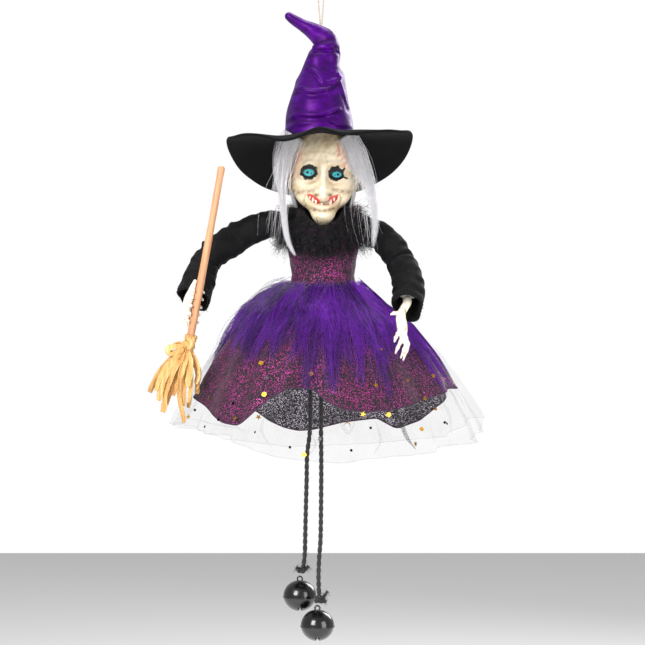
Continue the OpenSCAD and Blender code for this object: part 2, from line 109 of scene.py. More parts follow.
def fade(x, low, high):
    """0 below low, 1 above high, smooth between."""
    t = np.clip((x - low) / (high - low), 0, 1)
    return t * t * (3 - 2 * t)


def srgb(r, g, b):
    """A display colour, 0 to 255, as linear light."""
    return tuple(((c / 255 + 0.055) / 1.055) ** 2.4 if c > 10 else c / 255 / 12.92 for c in (r, g, b))


# ---------- Meshes ----------

def grid(rows, cols, wrap=True, closed=False):
    """Quads of a grid of rows by cols points. wrap joins each row's ends, closed joins last row to first."""
    r = np.arange(rows if closed else rows - 1)[:, None]
    c = np.arange(cols if wrap else cols - 1)[None, :]
    r2, c2 = (r + 1) % rows, (c + 1) % cols
    return np.stack([r * cols + c, r * cols + c2, r2 * cols + c2, r2 * cols + c], axis=-1).reshape(-1, 4)


def make(name, verts, faces, look, body=None, slot=None, nodes=(), tone=None, paint=None, smooth=True):
    """One piece from points in mm and one or more arrays of faces."""
    faces = faces if isinstance(faces, (list, tuple)) else [faces]
    faces = [np.asarray(f, np.int32) for f in faces]
    verts = np.asarray(verts, float).reshape(-1, 3)
    mesh = bpy.data.meshes.new(name)
    loops = np.concatenate([f.ravel() for f in faces])
    sizes = np.concatenate([np.full(len(f), f.shape[1]) for f in faces])
    mesh.vertices.add(len(verts))
    mesh.vertices.foreach_set("co", (verts * MM).astype(np.float32).ravel())
    mesh.loops.add(len(loops))
    mesh.loops.foreach_set("vertex_index", loops)
    mesh.polygons.add(len(sizes))
    mesh.polygons.foreach_set("loop_start", np.concatenate([[0], np.cumsum(sizes)[:-1]]).astype(np.int32))
    mesh.update(calc_edges=True)
    mesh.validate()
    mesh.polygons.foreach_set("use_smooth", np.full(len(mesh.polygons), smooth))
    if tone is not None:
        tones = np.ravel(tone).astype(np.float32)
        mesh.attributes.new("tone", "FLOAT", "POINT").data.foreach_set("value", tones)
    if paint is not None:
        rgba = np.concatenate([paint, np.ones((len(paint), 1))], axis=1).astype(np.float32)
        mesh.attributes.new("paint", "FLOAT_COLOR", "POINT").data.foreach_set("color", rgba.ravel())
    mesh.materials.append(look)
    piece = bpy.data.objects.new(name, mesh)
    bpy.context.scene.collection.objects.link(piece)
    if body:
        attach(piece, body)
    if nodes:
        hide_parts(*nodes)
    return piece


def tube(path, radii, sides, flat=1.0, pattern=None, across=None):
    """Points and faces of a tube along the path, closed at both ends. pattern(s, angle) scales its radius."""
    path = np.asarray(path, float)[:, :3]
    radii = np.broadcast_to(radii, len(path))
    u, v = side_vectors(path) if across is None else across
    a = np.arange(sides) * TAU / sides
    s = np.concatenate([[0], np.cumsum(np.linalg.norm(np.diff(path, axis=0), axis=1))])
    shape = pattern(s[:, None], a[None, :]) if pattern else np.ones((len(path), sides))
    r = (radii[:, None] * shape)[..., None]
    ring = u[:, None] * np.cos(a)[None, :, None] * r + v[:, None] * np.sin(a)[None, :, None] * r * flat
    verts = (path[:, None] + ring).reshape(-1, 3)
    n = len(verts)
    verts = np.vstack([verts, path[0], path[-1]])
    return verts, [grid(len(path), sides), fan(n, 0, sides, flip=True), fan(n + 1, n - sides, sides)]


def fan(centre, first, sides, flip=False):
    """Triangles from a centre point to the ring of points that starts at first."""
    here = first + np.arange(sides)
    there = first + (np.arange(sides) + 1) % sides
    return np.stack([np.full(sides, centre), there, here] if flip else [np.full(sides, centre), here, there],
                    axis=1)


def join(parts):
    """Several (verts, [faces, ...]) as one, with faces of each size together."""
    verts, by_size, base = [], {}, 0
    for v, fs in parts:
        for f in fs:
            by_size.setdefault(f.shape[1], []).append(np.asarray(f) + base)
        verts.append(v)
        base += len(v)
    return np.vstack(verts), [np.vstack(f) for f in by_size.values()]


def rounded(path, radii, steps=4):
    """The path and radii with round ends added."""
    path, radii = np.asarray(path, float)[:, :3], np.asarray(radii, float)
    d = headings(path)
    a = np.radians(np.linspace(80, 15, steps))
    head = path[0] - d[0] * (radii[0] * np.sin(a))[:, None]
    tail = path[-1] + d[-1] * (radii[-1] * np.sin(a[::-1]))[:, None]
    return (np.vstack([head, path, tail]),
            np.concatenate([radii[0] * np.cos(a), radii, radii[-1] * np.cos(a[::-1])]))


def strands(name, lines, thick, look, tones, **where):
    """Many thin tapered fibres: lines is strands by points by 3, thick their radius at the root."""
    lines = np.asarray(lines, float)
    count, pts = lines.shape[:2]
    d = np.gradient(lines, axis=1)
    d /= np.linalg.norm(d, axis=2, keepdims=True) + 1e-9
    u = np.cross(d, [0.31, 0.83, 0.46])
    u /= np.linalg.norm(u, axis=2, keepdims=True) + 1e-9
    v = np.cross(d, u)
    taper = (np.linspace(1, 0.25, pts)[None, :, None, None]
             * np.broadcast_to(thick, count)[:, None, None, None])
    a = np.arange(3) * TAU / 3
    ring = (u[:, :, None] * np.cos(a)[:, None] + v[:, :, None] * np.sin(a)[:, None]) * taper
    verts = (lines[:, :, None] + ring).reshape(-1, 3)
    one = grid(pts, 3)
    faces = (one[None] + (np.arange(count) * pts * 3)[:, None, None]).reshape(-1, 4)
    k = np.arange(count) * pts * 3
    ends = np.concatenate([np.stack([k + 2, k + 1, k], 1),
                           np.stack([k + pts * 3 - 3, k + pts * 3 - 2, k + pts * 3 - 1], 1)])
    return make(name, verts, [faces, ends], look, tone=np.repeat(tones, pts * 3), **where)


# ---------- Materials ----------

class Look:
    """A principled material and the short calls that build its nodes."""

    def __init__(self, name, base, rough, **fixed):
        self.mat = bpy.data.materials.new(name)
        self.mat.use_nodes = True
        self.tree = self.mat.node_tree
        self.shader = self.tree.nodes["Principled BSDF"]
        self.shader.inputs["Base Color"].default_value = (*base, 1)
        self.shader.inputs["Roughness"].default_value = rough
        for key, value in fixed.items():
            self.shader.inputs[key.replace("_", " ")].default_value = value
        self.place = self.node("ShaderNodeTexCoord").outputs["Object"]

    def node(self, kind, **inputs):
        made = self.tree.nodes.new(kind)
        for key, value in inputs.items():
            self.feed(made.inputs[key.replace("_", " ")], value)
        return made

    def feed(self, socket, value):
        if isinstance(value, bpy.types.NodeSocket):
            self.tree.links.new(value, socket)
        else:
            socket.default_value = value

    def stretched(self, x, y, z):
        move = self.node("ShaderNodeMapping", Vector=self.place)
        move.inputs["Scale"].default_value = (x, y, z)
        return move.outputs["Vector"]

    def noise(self, scale, detail=3.0, rough=0.55, where=None):
        return self.node("ShaderNodeTexNoise", Vector=where or self.place, Scale=scale, Detail=detail,
                         Roughness=rough).outputs["Fac"]

    def cells(self, scale, output="Distance", feature="F1", where=None):
        made = self.node("ShaderNodeTexVoronoi", Vector=where or self.place, Scale=scale)
        made.feature = feature
        return made.outputs[output]

    def ramp(self, fac, stops):
        made = self.node("ShaderNodeValToRGB", Fac=fac)
        band = made.color_ramp
        while len(band.elements) < len(stops):
            band.elements.new(0.5)
        for e, (at, colour) in zip(band.elements, stops):
            e.position = at
            e.color = (*colour, 1) if len(colour) == 3 else colour
        return made.outputs["Color"]

    def span(self, value, low, high, to_low=0.0, to_high=1.0):
        made = self.node("ShaderNodeMapRange", Value=value)
        for key, v in (("From Min", low), ("From Max", high), ("To Min", to_low), ("To Max", to_high)):
            made.inputs[key].default_value = v
        return made.outputs["Result"]

    def mix(self, fac, a, b, mode="MIX"):
        made = self.tree.nodes.new("ShaderNodeMix")
        made.data_type = "RGBA"
        made.blend_type = mode
        self.feed(made.inputs["Factor"], fac)
        for socket, value in ((made.inputs[6], a), (made.inputs[7], b)):
            self.feed(socket, value if isinstance(value, bpy.types.NodeSocket) else (*value, 1))
        return made.outputs[2]

    def calc(self, how, a, b=0.0):
        made = self.tree.nodes.new("ShaderNodeMath")
        made.operation = how
        self.feed(made.inputs[0], a)
        self.feed(made.inputs[1], b)
        return made.outputs[0]

    def attribute(self, name, output="Fac"):
        made = self.tree.nodes.new("ShaderNodeAttribute")
        made.attribute_name = name
        return made.outputs[output]

    def colour(self, value):
        self.feed(self.shader.inputs["Base Color"], value)

    def roughness(self, value):
        self.feed(self.shader.inputs["Roughness"], value)

    def relief(self, height, depth_mm, strength=1.0):
        made = self.node("ShaderNodeBump", Height=height, Strength=strength, Distance=depth_mm * MM)
        before = self.shader.inputs["Normal"]
        if before.is_linked:
            self.tree.links.new(before.links[0].from_socket, made.inputs["Normal"])
        self.tree.links.new(made.outputs["Normal"], before)


def purple_velvet():
    look = Look("purple velvet", (0.1, 0.01, 0.2), 0.34, Sheen_Weight=0.28, Sheen_Roughness=0.25,
                Sheen_Tint=(*srgb(160, 44, 214), 1), Specular_IOR_Level=0.55,
                Specular_Tint=(*srgb(200, 104, 244), 1))
    crush = look.noise(95, 4, 0.6, look.stretched(1, 1, 2.2))
    fine = look.noise(2600, 2)
    shade = look.ramp(crush, [(0.3, srgb(30, 1, 54)), (0.55, srgb(58, 4, 100)), (0.8, srgb(96, 14, 152))])
    look.colour(look.mix(look.span(fine, 0.3, 0.8, 0, 0.35), shade, srgb(36, 2, 66)))
    look.roughness(look.span(crush, 0.3, 0.7, 0.44, 0.27))
    look.relief(crush, 0.5, 0.8)
    look.relief(fine, 0.12, 0.5)
    return look.mat


def black_felt():
    look = Look("black felt", (0.008, 0.008, 0.009), 0.98, Sheen_Weight=0.04, Sheen_Roughness=0.6,
                Sheen_Tint=(0.5, 0.5, 0.52, 1), Specular_IOR_Level=0.06)
    fibre = look.noise(1500, 5, 0.7)
    broad = look.noise(60, 3)
    look.colour(look.mix(look.span(broad, 0.3, 0.7, 0, 0.6), look.ramp(
        fibre, [(0.35, srgb(7, 7, 8)), (0.75, srgb(34, 34, 35))]), srgb(13, 13, 14)))
    look.relief(fibre, 0.35, 0.7)
    return look.mat


def painted_skin():
    look = Look("painted head", (0.8, 0.7, 0.5), 0.42, Specular_IOR_Level=0.45)
    soft = look.noise(160, 4)
    fine = look.noise(1400, 3)
    tint = look.ramp(soft, [(0.3, srgb(225, 212, 186)), (0.7, (1, 1, 1))])
    look.colour(look.mix(0.55, look.attribute("paint", "Color"), tint, "MULTIPLY"))
    look.roughness(look.span(soft, 0.3, 0.7, 0.36, 0.55))
    look.relief(soft, 0.35, 0.5)
    look.relief(fine, 0.06, 0.5)
    return look.mat


def cast_plastic():
    look = Look("cream plastic", (0.85, 0.8, 0.68), 0.45, Specular_IOR_Level=0.4)
    soft = look.noise(330, 4, 0.6)
    look.colour(look.ramp(soft, [(0.28, srgb(170, 148, 120)), (0.42, srgb(228, 217, 198)),
                                 (0.7, srgb(244, 238, 226))]))
    look.relief(soft, 0.3, 0.5)
    look.relief(look.noise(1800, 2), 0.05, 0.4)
    return look.mat


def fibre(name, dark, light, rough=0.4, sheen=0.2):
    """Hair, fur or yarn, from dark to light by each fibre's own tone."""
    look = Look(name, dark, rough, Sheen_Weight=sheen, Sheen_Roughness=0.35, Specular_IOR_Level=0.45)
    along = look.noise(240, 3)
    shade = look.ramp(look.attribute("tone"), [(0.0, dark), (1.0, light)])
    look.colour(look.mix(look.span(along, 0.35, 0.7, 0, 0.35), shade, dark))
    look.relief(along, 0.2, 0.3)
    return look.mat


def glitter_cloth(name, ground, specks, share, scale=1050):
    """Woven cloth strewn with glitter: share of the cells carry a speck."""
    look = Look(name, ground, 0.6, Sheen_Weight=0.2, Specular_IOR_Level=0.4)
    hue = look.cells(scale, "Color")
    split = look.node("ShaderNodeSeparateColor", Color=hue)
    on = look.span(split.outputs["Red"], 1 - share, 1.04 - share)
    dot = look.span(look.cells(scale), 0.55, 0.38)
    thin = look.span(look.noise(75, 3), 0.3, 0.6, 0.35, 1)
    here = look.calc("MULTIPLY", look.calc("MULTIPLY", on, dot), thin)
    weave = look.noise(900, 2, 0.5, look.stretched(1, 1, 1.6))
    shade = look.ramp(split.outputs["Green"],
                      [(k / max(1, len(specks) - 1), c) for k, c in enumerate(specks)])
    base = look.mix(look.span(weave, 0.35, 0.7), ground, tuple(c * 0.35 for c in ground))
    look.colour(look.mix(here, base, shade))
    look.feed(look.shader.inputs["Metallic"], look.calc("MULTIPLY", here, 0.35))
    look.roughness(look.span(here, 0, 1, 0.75, 0.3))
    look.relief(split.outputs["Blue"], 0.18, 0.5)
    look.relief(weave, 0.15, 0.5)
    return look.mat


def net(name, colour, thin, thick):
    """Open net, drawn as a fine web of threads with clear holes between them."""
    look = Look(name, colour, 0.5, Specular_IOR_Level=0.3)
    web = look.span(look.cells(950, feature="DISTANCE_TO_EDGE"), 0.02, 0.16, 1, 0)
    cloud = look.span(look.noise(70, 3), 0.3, 0.7, thin, thick)
    look.feed(look.shader.inputs["Alpha"], look.calc("MULTIPLY", look.span(web, 0, 1, 0.35, 1), cloud))
    look.relief(web, 0.1, 0.4)
    look.mat.surface_render_method = "BLENDED"
    return look.mat


def foil(name, colour):
    look = Look(name, colour, 0.22, Metallic=1.0)
    grain = look.noise(700, 3)
    look.colour(look.mix(look.span(grain, 0.3, 0.8), colour, tuple(c * 0.55 for c in colour)))
    look.roughness(look.span(grain, 0.3, 0.7, 0.15, 0.4))
    look.relief(grain, 0.1, 0.4)
    return look.mat


def black_velvet():
    look = Look("black velvet", (0.004, 0.004, 0.005), 0.75, Sheen_Weight=0.1, Sheen_Roughness=0.3,
                Sheen_Tint=(0.45, 0.45, 0.48, 1), Specular_IOR_Level=0.15)
    nap = look.noise(130, 4, 0.65)
    lint = look.span(look.noise(2200, 2), 0.64, 0.72)
    look.colour(look.mix(look.calc("MULTIPLY", lint, 0.5), look.ramp(
        nap, [(0.3, srgb(5, 5, 6)), (0.72, srgb(20, 20, 22))]), srgb(70, 70, 72)))
    look.relief(nap, 0.5, 0.5)
    look.relief(look.noise(2400, 2), 0.12, 0.6)
    return look.mat


def bare_wood():
    look = Look("bare wood", srgb(206, 150, 112), 0.55, Specular_IOR_Level=0.3)
    grain = look.noise(60, 5, 0.6, look.stretched(2.4, 2.4, 0.18))
    look.colour(look.ramp(grain, [(0.3, srgb(184, 124, 88)), (0.5, srgb(214, 158, 118)),
                                  (0.7, srgb(234, 186, 146))]))
    look.roughness(look.span(grain, 0.3, 0.7, 0.62, 0.45))
    look.relief(grain, 0.2, 0.5)
    return look.mat


def raffia():
    look = Look("raffia", srgb(222, 176, 112), 0.6, Specular_IOR_Level=0.3)
    streak = look.noise(110, 5, 0.65, look.stretched(3.2, 3.2, 0.5))
    shade = look.ramp(streak, [(0.28, srgb(178, 124, 66)), (0.5, srgb(224, 178, 112)),
                               (0.72, srgb(246, 214, 158))])
    look.colour(look.mix(look.calc("MULTIPLY", look.attribute("tone"), 0.5), shade, srgb(190, 138, 78)))
    look.relief(streak, 0.5, 0.7)
    return look.mat


def black_cord():
    look = Look("black cord", (0.01, 0.01, 0.01), 0.75, Sheen_Weight=0.4, Sheen_Roughness=0.4)
    ply = look.noise(1300, 3, 0.6)
    look.colour(look.ramp(ply, [(0.35, srgb(12, 12, 12)), (0.75, srgb(52, 50, 50))]))
    look.relief(ply, 0.25, 0.6)
    return look.mat


def thread():
    look = Look("hanging thread", srgb(190, 172, 148), 0.7, Sheen_Weight=0.3)
    ply = look.noise(2200, 3)
    look.colour(look.ramp(ply, [(0.3, srgb(146, 126, 104)), (0.7, srgb(214, 200, 180))]))
    look.relief(ply, 0.1, 0.5)
    return look.mat


def gloss_black():
    look = Look("gloss black enamel", (0.008, 0.008, 0.009), 0.16, Coat_Weight=0.6, Coat_Roughness=0.08)
    flow = look.noise(190, 3)
    rub = look.span(look.noise(900, 4, 0.7), 0.6, 0.75)
    look.colour(look.mix(look.calc("MULTIPLY", rub, 0.35), srgb(9, 9, 10), srgb(46, 44, 42)))
    look.roughness(look.span(flow, 0.3, 0.7, 0.12, 0.3))
    look.relief(flow, 0.12, 0.4)
    return look.mat


def plain(name, dark, light, rough, scale, **fixed):
    """Mottled material between two tones."""
    look = Look(name, dark, rough, **fixed)
    mottle = look.noise(scale, 4)
    look.colour(look.ramp(mottle, [(0.3, dark), (0.7, light)]))
    look.roughness(look.span(mottle, 0.3, 0.7, rough, min(1, rough + 0.15)))
    look.relief(mottle, 0.3, 0.5)
    return look.mat


VELVET = purple_velvet()
FELT = black_felt()
SKIN = painted_skin()
PLASTIC = cast_plastic()
HAIR = fibre("white hair", srgb(206, 203, 208), srgb(252, 251, 253), 0.4, 0.2)
FUR = fibre("purple fur", srgb(26, 2, 56), srgb(140, 40, 214), 0.36, 0.35)
YARN = fibre("eyelash yarn", srgb(3, 3, 4), srgb(40, 37, 43), 0.32, 0.05)
PINK_YARN = fibre("magenta glints", srgb(70, 10, 60), srgb(190, 60, 160), 0.25, 0.2)
GLITTER = glitter_cloth("glitter cloth", srgb(30, 8, 28),
                        [srgb(150, 18, 108), srgb(222, 52, 168), srgb(92, 18, 92)], 0.5, 1350)
SILVER = glitter_cloth("glitter cloth, wrong side", srgb(30, 24, 34),
                       [srgb(190, 180, 192), srgb(240, 234, 244), srgb(140, 110, 144)], 0.56, 1350)
NET = net("black net", srgb(40, 40, 44), 0.05, 0.13)
NET_THIN = net("black net, lying double", srgb(60, 60, 64), 0.14, 0.24)
NET_EDGE = net("black net, doubled", srgb(14, 14, 16), 0.75, 0.95)
GOLD = foil("gold foil", srgb(226, 168, 66))
SILVER_FOIL = foil("silver foil", srgb(150, 150, 160))
BLACK_FOIL = foil("black foil", srgb(20, 20, 22))
SLEEVE = black_velvet()
WOOD = bare_wood()
RAFFIA = raffia()
CORD = black_cord()
THREAD = thread()
ENAMEL = gloss_black()
FILLING = plain("polyester filling", srgb(206, 204, 200), srgb(244, 243, 240), 0.85, 500)
STEEL = plain("bright steel", srgb(120, 120, 124), srgb(176, 176, 180), 0.25, 900, Metallic=1.0)
ELASTIC = plain("black elastic", srgb(10, 10, 10), srgb(40, 40, 42), 0.7, 1500)


# ---------- Camera and light ----------

# The photograph's own view: 1.5 m in front of the figure's middle, level
VIEW_MIDDLE = (1.1, -251.7)
VIEW_WIDTH = 474
VIEW_DISTANCE = 1500

lens = bpy.data.cameras.new("camera")
lens.sensor_width = 36
lens.lens = 36 * VIEW_DISTANCE / VIEW_WIDTH
camera = bpy.data.objects.new("camera", lens)
camera.location = (VIEW_MIDDLE[0] * MM, -VIEW_DISTANCE * MM, VIEW_MIDDLE[1] * MM)
camera.rotation_euler = (math.pi / 2, 0, 0)
bpy.context.scene.collection.objects.link(camera)
bpy.context.scene.camera = camera


def softbox(name, at, aim, size, watts):
    light = bpy.data.lights.new(name, "AREA")
    light.shape = "RECTANGLE"
    light.size, light.size_y = size
    light.energy = watts
    lamp = bpy.data.objects.new(name, light)
    lamp.location = at
    lamp.rotation_euler = (Vector(aim) - Vector(at)).to_track_quat("-Z", "Y").to_euler()
    bpy.context.scene.collection.objects.link(lamp)


def studio():
    aim = (0, 0, -0.25)
    softbox("key", (-1.0, -1.6, 0.55), aim, (0.9, 1.2), 44)
    softbox("fill", (1.4, -1.3, 0.0), aim, (1.0, 1.4), 18)
    softbox("top", (0.1, 0.3, 1.1), aim, (0.9, 0.9), 16)
    softbox("rim", (0.9, 1.2, 0.4), aim, (0.7, 1.0), 12)
    world = bpy.context.scene.world or bpy.data.worlds.new("world")
    bpy.context.scene.world = world
    world.use_nodes = True
    sky = world.node_tree.nodes["Background"]
    sky.inputs["Color"].default_value = (1, 1, 1, 1)
    # White where it is seen, softer where it lights
    seen = world.node_tree.nodes.new("ShaderNodeLightPath").outputs["Is Camera Ray"]
    dim = world.node_tree.nodes.new("ShaderNodeMapRange")
    dim.inputs["To Min"].default_value = 0.42
    world.node_tree.links.new(seen, dim.inputs["Value"])
    world.node_tree.links.new(dim.outputs["Result"], sky.inputs["Strength"])
    bpy.context.scene.view_settings.view_transform = "Standard"
    floor_look = Look("pale floor", (0.93, 0.93, 0.93), 0.9)
    floor_look.relief(floor_look.noise(30, 3), 0.2, 0.1)
    corners = [[-3000, -3000, -760], [3000, -3000, -760], [3000, 3000, -760], [-3000, 3000, -760]]
    floor = make("floor", corners, np.array([[0, 1, 2, 3]]), floor_look.mat)


studio()


# ---------- Cords ----------

# Hanger: up from the knot in the hat, over the top and down again
HANGER = [[-0.7, 0, -42.5], [-0.7, 0, -36], [-0.7, 0, -31], [-1.3, 0, -23], [-1.9, 0, -15], [-2.4, 0, -8],
          [-2.5, 0, -3.2], [-1.8, 0, -1.4], [0, 0, -0.55], [1.8, 0, -1.4], [2.5, 0, -3.2], [2.4, 0, -8],
          [1.9, 0, -15], [1.3, 0, -23], [0.7, 0, -31], [0.7, 0, -36], [0.7, 0, -42.5]]
THREAD_R = 0.55
# Legs: hip, knee and ankle
RIGHT_LEG = [[-8, 0, -246.9], [-8, 0, -275], [-8, 0, -305], [-8.2, 0.5, -331], [-10.2, 1.5, -349],
             [-10.6, 2.5, -368], [-11.2, 3, -390], [-11.6, 4, -408], [-12, 5.5, -423], [-13.2, 6.8, -432.5]]
LEFT_LEG = [[0, 0, -246.9], [0, 0, -275], [0, 0, -305], [0, -0.5, -331], [0.2, -2, -355], [0, -3, -390],
            [-0.4, -4.5, -411], [-1.4, -5.5, -425], [-1.8, -6.5, -438], [-1.4, -7, -452]]
CORD_R = 1.7
KNEE_Z = -392


def knot(name, at, size, look, body, slot, nodes=(), seed=1):
    """A real overhand knot: a trefoil of cord pulled tight."""
    t = np.linspace(0, TAU, 64, endpoint=False)
    x = np.sin(t) + 1.6 * np.sin(2 * t)
    y = np.cos(t) - 1.6 * np.cos(2 * t)
    z = -1.25 * np.sin(3 * t)
    path = np.stack([x, y, z * 0.85], 1) / 2.6 * size * 0.62
    angle = seed * 1.3
    spin = np.array([[math.cos(angle), -math.sin(angle), 0], [math.sin(angle), math.cos(angle), 0],
                     [0, 0, 1]])
    path = path @ spin.T + np.asarray(at)
    d = np.roll(path, -1, 0) - np.roll(path, 1, 0)
    d /= np.linalg.norm(d, axis=1, keepdims=True)
    u = np.cross(d, path - np.asarray(at))
    u /= np.linalg.norm(u, axis=1, keepdims=True)
    v = np.cross(d, u)
    a = np.arange(10) * TAU / 10
    ring = u[:, None] * np.cos(a)[None, :, None] + v[:, None] * np.sin(a)[None, :, None]
    verts = (path[:, None] + ring * size * 0.36).reshape(-1, 3)
    return make(name, verts, grid(len(path), 10, closed=True), look, body, slot, nodes)


def fuzz(name, path, r, count, reach, look, tones, seed, **where):
    """Short loose fibres standing off a cord."""
    rng = np.random.default_rng(seed)
    path = np.asarray(path)[:, :3]
    pick = rng.integers(0, len(path), count)
    u, v = side_vectors(path)
    a = rng.uniform(0, TAU, count)
    out = u[pick] * np.cos(a)[:, None] + v[pick] * np.sin(a)[:, None]
    lean = rng.normal(0, 0.5, (count, 3))
    far = rng.uniform(0.3, 1, count)[:, None] * reach
    steps = np.linspace(0, 1, 4)[None, :, None]
    root = path[pick] + out * r * 0.85
    lines = root[:, None] + (out[:, None] * steps + lean[:, None] * steps ** 2) * far[:, None]
    return strands(name, lines, 0.09, look, rng.uniform(*tones, count), **where)


def hanger():
    path = even(curve(HANGER, 6), 0.45)
    twist = lambda s, a: 0.88 + 0.12 * np.cos(2 * a + s * 2.4)
    verts, faces = tube(path, THREAD_R, 10, pattern=twist)
    loop = make("hanger_thread", verts, faces, THREAD, "hanger", "thread", ["hanger_loop"])
    stop = knot("hanger_thread_knot", (0, 0, -43.4), 2.0, THREAD, "hanger", "thread", nodes=["hanger_knot"])


def leg(side, route, knot_at, knot_r, drape):
    path = even(curve(route, 8), 0.5)
    braid = lambda s, a: (0.83 + 0.17 * np.maximum(np.cos(2 * a + s * 1.25), np.cos(2 * a - s * 1.25 + 1.2)))
    verts, faces = tube(path, CORD_R, 16, pattern=braid)
    cord = make(f"{side}_leg", verts, faces, CORD)
    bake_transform(cord)
    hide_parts(f"{side}_leg_cord_upper", f"{side}_leg_cord_lower")
    tie = knot(f"{side}_ankle_tie", knot_at, knot_r * 1.5, CORD, f"{side}_shin", "black_cord",
               nodes=[f"{side}_ankle_knot"], seed=2 + len(side))
    upper = path[path[:, 2] > KNEE_Z + 12]
    lower = path[path[:, 2] < KNEE_Z - 10]
    fuzz(f"{side}_thigh_fuzz", upper, CORD_R, 260, 1.3, YARN, (0.1, 0.7), 11, body=f"{side}_thigh",
         slot="black_cord")
    fuzz(f"{side}_shin_fuzz", lower, CORD_R, 120, 1.3, YARN, (0.1, 0.7), 12, body=f"{side}_shin",
         slot="black_cord")
    # Loose ends of the knot, frayed
    at = np.asarray(knot_at, float)
    for k, (dx, dz, dy) in enumerate(drape):
        tail = curve([at, at + np.array([dx * 0.5, dy, dz * 0.3]), at + np.array([dx, dy * 1.3, dz])], 8)
        v, f = tube(tail, np.linspace(1.3, 1.0, len(tail)), 10, pattern=braid)
        make(f"{side}_tie_end_{k}", v, f, CORD, f"{side}_shin", "black_cord")
        fuzz(f"{side}_fray_{k}", tail[len(tail) // 2:], 1.0, 90, 2.6, YARN, (0.1, 0.7), 20 + k,
             body=f"{side}_shin", slot="black_cord")


hanger()
leg("right", RIGHT_LEG, (-14, 7.2, -434.6), 2.6, [(5, 3.4, -2), (-4.4, 2.4, -1.5)])
leg("left", LEFT_LEG, (-1.6, -7.2, -454.4), 3, [(6.4, 6.5, -1.4), (5.6, -1.5, -2)])


# ---------- Hat ----------

BRIM_R, BRIM_HOLE_R, FELT_T, BRIM_Z = 68, 24, 2, -113.5
FOLD_SOFT, FOLD_DOWN, FOLD_SHORT = 12, 0.6, 0.2
PINCH_UP, PINCH_W = 5, 11
DIP_DOWN, DIP_X, DIP_W = 3.5, -28, 14
BRIM_ROLL, FRONT_DROOP = 0.025, 5.5
HAT_LINE = [[-2, -113, 25.4], [-1.5, -95.5, 23.2], [0, -77, 18.4], [1, -63, 13.4], [4, -52, 9.8],
            [3.5, -45, 8.4], [-2, -40.5, 6.8], [-6.5, -37.5, 5.9], [-11, -35, 4.9], [-14.5, -33, 4.3],
            [-18.5, -30.4, 4.1], [-21.5, -28.4, 3.7], [-23.4, -26.9, 3.3]]


def on_brim(r, a):
    """A point of the flat felt, moved to where the bent brim has it."""
    x, s = r * np.cos(a), r * np.sin(a)
    g = (s + np.sqrt(s * s + FOLD_SOFT ** 2)) / 2
    front = np.maximum(0, -s) / BRIM_R
    z = (BRIM_Z - FOLD_DOWN * g + PINCH_UP * bump(x, 0, PINCH_W) * front
         - DIP_DOWN * bump(x, DIP_X, DIP_W) * front + BRIM_ROLL * x - FRONT_DROOP * front ** 3)
    return np.stack([x - 1, s - FOLD_SHORT * g, z], axis=-1)


HAT_FOLDS = [([(-17, -81.5), (-7, -84), (3.7, -83), (10, -78), (13, -73)], 1.5, 1.5),
             ([(1, -78), (6, -77.4), (10.5, -75)], 1.1, 0.8),
             ([(-23, -103.6), (-16, -101), (-5, -101.8), (5, -100.4), (13, -97)], 1.6, 1.6),
             ([(-26, -112), (-20, -108.6), (-8, -107)], 1.4, 1.1),
             ([(12, -70), (15.5, -82), (20, -95)], 1.3, 1.2),
             ([(-10, -66), (-4, -70), (1, -76)], 1.3, 0.9),
             ([(4, -104), (12, -108), (22, -109)], 1.5, 1.2)]


def crease(x, z, points, width):
    """1 on the line through the points, falling to 0 a few widths away."""
    line = curve(points, 12)
    d = np.min((x[..., None] - line[:, 0]) ** 2 + (z[..., None] - line[:, 1]) ** 2, axis=-1)
    return np.exp(-d / width ** 2)


def brim():
    a = np.arange(240) * TAU / 240
    radii = np.linspace(BRIM_HOLE_R, BRIM_R, 34)
    top = on_brim(radii[:, None], a[None, :])
    swell = wobble(top, 46, 5, 2) * 0.5 * fade(radii, 28, 60)[:, None]
    top[..., 2] += swell
    edge = on_brim(np.full((1, 1), BRIM_R + 0.45), a[None, :])
    edge[..., 2] += swell[-1] - FELT_T / 2
    low = top - [0, 0, FELT_T]
    inner = low[:1] * 0.5 + top[:1] * 0.5
    rows = np.concatenate([inner, low, edge, top[::-1]])
    piece = make("brim", rows, grid(len(rows), 240, closed=True), FELT, "figure", "black_felt", ["hat_brim"])


